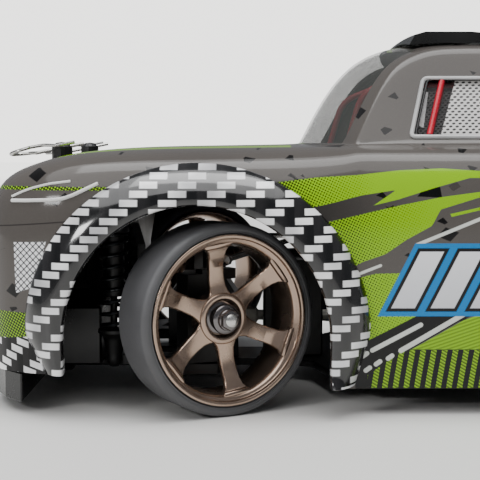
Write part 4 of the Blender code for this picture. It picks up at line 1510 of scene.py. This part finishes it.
# ------------------------------------------------------------------------ wheels
@dataclass
class Wheel:
    """Rim, tyre and axle of one corner."""

    palette: Palette
    end: End
    side: Side
    spokes: int = 6
    first_spoke: float = math.radians(98.0)
    tip_top: float = 0.0209
    thread_foot: float = 0.0182
    tip_foot: float = 0.0178
    thread_pitch: float = 0.0003

    @property
    def prefix(self) -> str:
        """Start of this corner's names."""
        return f"{self.end.name.lower()}_{self.side.name.lower()}"

    def dress(self, made: bpy.types.Object, node: str) -> None:
        """Ride on the wheel and stand for its CAD node.

        Args:
            made: The piece.
            node: The node's name after the corner's.
        """
        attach(made, f"{self.prefix}_wheel")
        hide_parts(f"{self.prefix}_{node}")

    def tyre(self) -> None:
        """Slick tyre with round shoulders and a bead step."""
        half, outer, inner = 0.010, 0.0310, 0.0253
        shoulder = 0.0022
        walls = []
        for sign in (1, -1):
            arc = [(outer - shoulder + shoulder * math.cos(angle),
                    half + sign * (half - shoulder + shoulder * math.sin(angle)))
                   for angle in [math.radians(degrees) for degrees in range(0, 91, 15)]]
            rib = [(0.0291, half + sign * half), (0.0288, half + sign * (half - 0.00025)),
                   (0.0284, half + sign * (half - 0.00025)), (0.0281, half + sign * (half - 0.0001)),
                   (0.0279, half + sign * (half - 0.0006)), (inner, half + sign * 0.0076)]
            walls.append(arc + rib)
        shape = bmesh.new()
        Former.turned(shape, walls[1] + walls[0][::-1], 96, closed=True)
        made = Former.piece(f"{self.prefix}_slick_tyre", shape, self.palette.rubber,
                            outward_axes(self.end, self.side), smooth=40.0)
        self.dress(made, "tyre")

    def spoke_rows(self, turn: float) -> list[list[Vector]]:
        """Sections of one spoke, hub to rim, each a closed six-point ring.

        Args:
            turn: The spoke's angle.

        Returns:
            The sections.
        """
        stations = ((0.0066, 0.0046, 0.0141, 0.0040), (0.0084, 0.0035, 0.0141, 0.0036),
                    (0.0102, 0.0029, 0.0138, 0.0032), (0.0130, 0.0027, 0.0137, 0.0030),
                    (0.0168, 0.0027, 0.0142, 0.0028), (0.0200, 0.0029, 0.0153, 0.0026),
                    (0.0220, 0.0034, 0.0163, 0.0024), (0.0231, 0.0043, 0.0167, 0.0024),
                    (0.0233, 0.0047, 0.0176, 0.0034), (0.0246, 0.0057, 0.0180, 0.0036))
        rows = []
        for radius, half, face, thick in stations:
            ring = [(-half, face - 0.0005), (-half + 0.0004, face), (half - 0.0004, face),
                    (half, face - 0.0005), (half * 0.86, face - thick), (-half * 0.86, face - thick)]
            rows.append([Matrix.Rotation(turn, 3, "Z") @ Vector((radius, across, height))
                         for across, height in ring])
        return rows

    def rim(self) -> None:
        """Deep-lipped rim with spokes that widen at a step near the barrel."""
        barrel = [(0.0276, 0.0196), (0.0274, 0.0200), (0.0266, 0.0200), (0.0262, 0.0197), (0.0260, 0.0186),
                  (0.0254, 0.0183), (0.0249, 0.0181), (0.0243, 0.0172), (0.0240, 0.0150), (0.0238, 0.0060),
                  (0.0246, 0.0030), (0.0262, 0.0003), (0.0270, 0.0002), (0.0272, 0.0005), (0.0250, 0.0027),
                  (0.0249, 0.0174)]
        shape = bmesh.new()
        Former.turned(shape, barrel, 96, closed=True)
        for spoke in range(self.spokes):
            turn = 2 * math.pi * spoke / self.spokes + self.first_spoke
            chains = Former.loft(shape, self.spoke_rows(turn), closed=True)
            for chain in (chains[0], chains[-1]):
                bmesh.ops.contextual_create(shape, geom=chain)
        hub = [(0.0026, 0.0112), (0.0057, 0.0112), (0.0060, 0.0116), (0.0061, 0.0143), (0.0063, 0.0147),
               (0.0067, 0.0149), (0.0077, 0.0149), (0.0083, 0.0145), (0.0084, 0.0132), (0.0080, 0.0068),
               (0.0064, 0.0060), (0.0026, 0.0060)]
        Former.turned(shape, hub, 64, closed=True)
        made = Former.piece(f"{self.prefix}_spoked_rim", shape, self.palette.bronze,
                            outward_axes(self.end, self.side), smooth=28.0)
        Former.modifier(made, "BEVEL", width=0.00022, segments=2, limit_method="ANGLE",
                        angle_limit=math.radians(50.0), harden_normals=False)
        Former.apply(made, 40.0)
        self.dress(made, "rim")

    def axle(self) -> None:
        """Stub axle with a flanged hexagon nut and a bright threaded end."""
        axes = outward_axes(self.end, self.side)
        shape = bmesh.new()
        collar = [(0.0, 0.0185), (0.0030, 0.0185), (0.0034, 0.0182), (0.0036, 0.0172), (0.0044, 0.0170),
                  (0.0048, 0.0166), (0.0048, 0.0150), (0.0043, 0.0146), (0.0043, 0.0132), (0.0052, 0.0129),
                  (0.0052, 0.0115), (0.0021, 0.0115), (0.0021, 0.0057), (0.0046, 0.0057), (0.0048, 0.0052),
                  (0.0048, 0.0010), (0.0045, 0.0006), (0.0021, 0.0006), (0.0021, -0.0075), (0.0, -0.0075)]
        Former.turned(shape, collar, 48)
        nut = bmesh.ops.create_cone(shape, cap_ends=True, segments=6, radius1=0.0036, radius2=0.0034,
                                    depth=0.0016, matrix=Matrix.Translation((0, 0, 0.0190)))
        bevelled = list(dict.fromkeys(edge for vert in nut["verts"] for edge in vert.link_edges))
        bmesh.ops.bevel(shape, geom=bevelled, offset=0.0003, segments=2, profile=0.5,
                        affect="EDGES", material=-1)
        made = Former.piece(f"{self.prefix}_stub_axle", shape, self.palette.chrome, axes, smooth=35.0)
        self.dress(made, "axle")
        tip = bmesh.new()
        thread: list[Pair] = [(0.0, 0.0213), (0.0012, 0.0213), (0.0018, self.tip_top)]
        height = self.tip_top
        while height > self.thread_foot:
            thread += [(0.0020, height - 0.00012), (0.00185, height - self.thread_pitch)]
            height -= self.thread_pitch
        thread += [(0.0020, self.tip_foot), (0.0, self.tip_foot)]
        Former.turned(tip, thread, 32)
        end_piece = Former.piece(f"{self.prefix}_axle_tip", tip, self.palette.steel, axes, smooth=45.0)
        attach(end_piece, f"{self.prefix}_wheel")

    def build(self) -> None:
        """All of the wheel."""
        self.tyre()
        self.rim()
        self.axle()


# -------------------------------------------------------------------- suspension
@dataclass
class Shock:
    """Shock body, rod and coil spring of one corner."""

    palette: Palette
    end: End
    side: Side
    turns: int = 8
    wire: float = 0.00068

    def build(self) -> None:
        """Make the three pieces from their CAD places."""
        prefix = f"{self.end.name.lower()}_{self.side.name.lower()}"
        low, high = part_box(f"{prefix}_shock_body")
        centre = Vector(((low.x + high.x) / 2, (low.y + high.y) / 2, 0))
        place = Matrix.Translation(centre)
        top, foot = high.z, low.z
        s_low, s_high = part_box(f"{prefix}_spring")
        collar = s_high.z + 0.0002
        profile = [(0.0, top), (0.0028, top), (0.0034, top - 0.0004), (0.0048, top - 0.0017),
                   (0.0048, top - 0.0036), (0.0045, top - 0.0040), (0.0048, top - 0.0044),
                   (0.0048, top - 0.0080), (0.0038, top - 0.0088), (0.0038, collar + 0.0030),
                   (0.0053, collar + 0.0028), (0.0056, collar + 0.0024),
                   (0.0056, collar + 0.0003), (0.0053, collar), (0.0037, collar), (0.0037, foot + 0.0004),
                   (0.0033, foot), (0.0016, foot), (0.0016, foot + 0.003), (0.0, foot + 0.003)]
        shape = bmesh.new()
        Former.turned(shape, profile, 40)
        body = Former.piece(f"{prefix}_damper_body", shape, self.palette.nylon, place)
        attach(body, "chassis")
        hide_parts(f"{prefix}_shock_body")

        r_low, r_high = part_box(f"{prefix}_shock_rod")
        seat = s_low.z - 0.0002
        eye = r_low.z + 0.003
        shape = bmesh.new()
        profile = [(0.0, r_high.z), (0.0011, r_high.z), (0.0012, r_high.z - 0.0003), (0.0012, seat + 0.0001),
                   (0.0030, seat), (0.0053, seat), (0.0056, seat - 0.0003), (0.0056, seat - 0.0014),
                   (0.0050, seat - 0.0020), (0.0042, seat - 0.0026), (0.0036, seat - 0.0040),
                   (0.0030, eye + 0.0022), (0.0027, eye + 0.0012), (0.0028, eye), (0.0024, eye - 0.0016),
                   (0.0014, r_low.z + 0.0003), (0.0, r_low.z)]
        profile = [(radius, max(height, r_low.z)) for radius, height in profile]
        Former.turned(shape, profile, 40)
        rod = Former.piece(f"{prefix}_damper_rod", shape, self.palette.nylon, place)
        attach(rod, f"{prefix}_shock_rod")
        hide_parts(f"{prefix}_shock_rod")

        wire = self.wire
        mean = (s_high.x - s_low.x) / 2 - wire
        start, finish = s_low.z + wire, s_high.z - wire
        per_turn = 28
        count = self.turns * per_turn
        points = []
        for index in range(-per_turn // 2, count + per_turn // 2 + 1):
            height = start + (finish - start) * min(max(index / count, 0.0), 1.0)
            angle = 2 * math.pi * index / per_turn
            points.append(centre + Vector((mean * math.cos(angle), mean * math.sin(angle), height)))
        coil = Former.tube(f"{prefix}_coil_spring", points, wire, self.palette.spring, sides=10)
        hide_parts(f"{prefix}_spring")
        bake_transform(coil)


@dataclass
class BodyClip:
    """Wire R-clip through a body post."""

    palette: Palette
    end: End
    side: Side
    post_y: float = 0.040
    ring: float = 0.0042
    wire: float = 0.0006

    def build(self) -> None:
        """Make the clip."""
        prefix = f"{self.end.name.lower()}_{self.side.name.lower()}"
        s = self.side.value
        front = self.end is End.FRONT
        post_x, level, fall = (0.1505, 0.0856, 0.20) if front else (0.1460, 0.0885, 0.0)
        x, y = self.end.value * post_x, s * self.post_y
        flat = [(x - 0.0075, y, 0.0), (x, y, 0.0), (x + 0.0085, y, 0.0)]
        for step in range(1, 30):
            angle = math.pi - 2 * math.pi * step / 33
            flat.append((x + 0.0135 + self.ring * math.cos(angle), y - s * self.ring * math.sin(angle),
                         0.00008 * step))
        flat += [(x + 0.006, y + s * 0.0026, 0.0022), (x + 0.001, y + s * 0.0053, 0.0010),
                 (x - 0.005, y + s * 0.0050, 0.0010)]
        points = [(px, py, level + rise - fall * (px - x)) for px, py, rise in flat]
        made = Former.tube(f"{prefix}_r_clip", rounded(points, 0.0012, 3, closed=False), self.wire,
                           self.palette.steel)
        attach(made, "chassis")
        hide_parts(f"{prefix}_clip")


# ------------------------------------------------------------------- bare pieces
@dataclass
class Mechanism:
    """CAD nodes that keep their shape and take a finish."""

    palette: Palette

    def finish_of(self, node: str) -> bpy.types.Material:
        """Choose a node's finish by its name; nylon where none is listed.

        Args:
            node: The node's name.

        Returns:
            The finish.
        """
        palette = self.palette
        if node.endswith("_track_rod"):
            return palette.steel
        listed = {"roof_rail": palette.trim, "front_bumper": palette.trim, "rear_diffuser": palette.trim,
                  "motor": palette.can, "battery_pack": palette.wrap, "centre_shaft": palette.acetal,
                  "pinion_gear": palette.steel}
        return listed.get(node, palette.nylon)

    def build(self, nodes: dict[str, bpy.types.Object]) -> None:
        """Give every visible CAD node its finish.

        Args:
            nodes: The frame's nodes by name.
        """
        for name, node in nodes.items():
            if node.hide_render:
                continue
            node.data.materials.clear()
            node.data.materials.append(self.finish_of(name))


# ------------------------------------------------------------------------- studio
@dataclass
class Studio:
    """Camera, floor, backdrop and lights."""

    eye: Triple = (0.0889, 0.4763, 0.0864)
    pitch: float = math.radians(4.30)
    lens: float = 94.2

    def camera(self) -> None:
        """The product view, square to the car's left side."""
        data = bpy.data.cameras.new("product_view")
        data.lens = self.lens
        data.sensor_width = 36.0
        data.clip_start = 0.01
        data.clip_end = 20.0
        made = bpy.data.objects.new("product_view", data)
        made.location = self.eye
        made.rotation_euler = (math.pi / 2 - self.pitch, 0.0, math.pi)
        bpy.context.scene.collection.objects.link(made)
        bpy.context.scene.camera = made

    def floor(self) -> None:
        """Pale table top."""
        graph = Graph("pale_table")
        cloud = graph.noise(3.0, 3.0)
        colour = graph.mix(cloud, paint_colour(222, 221, 218), paint_colour(232, 231, 228))
        _, y, _ = graph.place()
        glow = graph.mix(y.ramp(-0.35, -3.0), (0.0, 0.0, 0.0, 1.0), (1.60, 1.59, 1.54, 1.0))
        finish = graph.finish(Base_Color=colour, Roughness=(cloud - 0.5) * 0.1 + 0.5, Emission_Color=glow,
                              Emission_Strength=1.0)
        shape = bmesh.new()
        bmesh.ops.create_grid(shape, x_segments=2, y_segments=2, size=6.0)
        made = Former.piece("table_top", shape, finish)

    def lamp(self, name: str, place: Triple, aim: Triple, size: float, power: float) -> None:
        """One soft area light.

        Args:
            name: The light's name.
            place: Where it stands.
            aim: What it faces.
            size: Its long side.
            power: Its power in watts.
        """
        data = bpy.data.lights.new(name, "AREA")
        data.shape = "RECTANGLE"
        data.size = size
        data.size_y = size * 0.6
        data.energy = power
        made = bpy.data.objects.new(name, data)
        made.location = place
        made.rotation_euler = (Vector(aim) - Vector(place)).to_track_quat("-Z", "Y").to_euler()
        bpy.context.scene.collection.objects.link(made)

    def room(self) -> None:
        """Dim cool room light, behind a bright wall that only the camera sees."""
        world = bpy.data.worlds.new("soft_room")
        world.use_nodes = True
        tree = world.node_tree
        room = tree.nodes["Background"]
        room.inputs[0].default_value = (0.80, 0.83, 0.88, 1.0)
        room.inputs[1].default_value = 0.28
        wall = tree.nodes.new("ShaderNodeBackground")
        wall.inputs[0].default_value = (1.0, 0.99, 0.965, 1.0)
        wall.inputs[1].default_value = 2.6
        rays = tree.nodes.new("ShaderNodeLightPath")
        choose = tree.nodes.new("ShaderNodeMixShader")
        tree.links.new(rays.outputs["Is Camera Ray"], choose.inputs[0])
        tree.links.new(room.outputs[0], choose.inputs[1])
        tree.links.new(wall.outputs[0], choose.inputs[2])
        tree.links.new(choose.outputs[0], tree.nodes["World Output"].inputs[0])
        bpy.context.scene.world = world

    def overhead(self) -> None:
        """Broad wash of light from above."""
        sky = bpy.data.lights.new("overhead_wash", "SUN")
        sky.energy = 3.1
        sky.angle = math.radians(70.0)
        wash = bpy.data.objects.new("overhead_wash", sky)
        wash.rotation_euler = (math.radians(-14.0), math.radians(6.0), 0.0)
        bpy.context.scene.collection.objects.link(wash)

    def build(self) -> None:
        """Set the whole studio up."""
        self.camera()
        self.floor()
        self.room()
        self.overhead()
        self.lamp("top_softbox", (0.10, 0.10, 0.95), (0.08, 0.0, 0.05), 0.7, 5.0)
        self.lamp("side_softbox", (0.75, 0.70, 0.45), (0.1, 0.0, 0.05), 0.22, 2.6)


def main() -> None:
    """Build the car round its frame."""
    logging.basicConfig(level=logging.INFO)
    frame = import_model()
    Studio().build()
    palette = Palette()
    BodyShell(palette).build()
    Cabin(palette).build()
    for end in End:
        for side in Side:
            Wheel(palette, end, side).build()
            Shock(palette, end, side).build()
            BodyClip(palette, end, side).build()
            LOG.info("%s %s corner", end.name, side.name)
    Mechanism(palette).build(frame["nodes"])


if __name__ == "__main__":
    main()
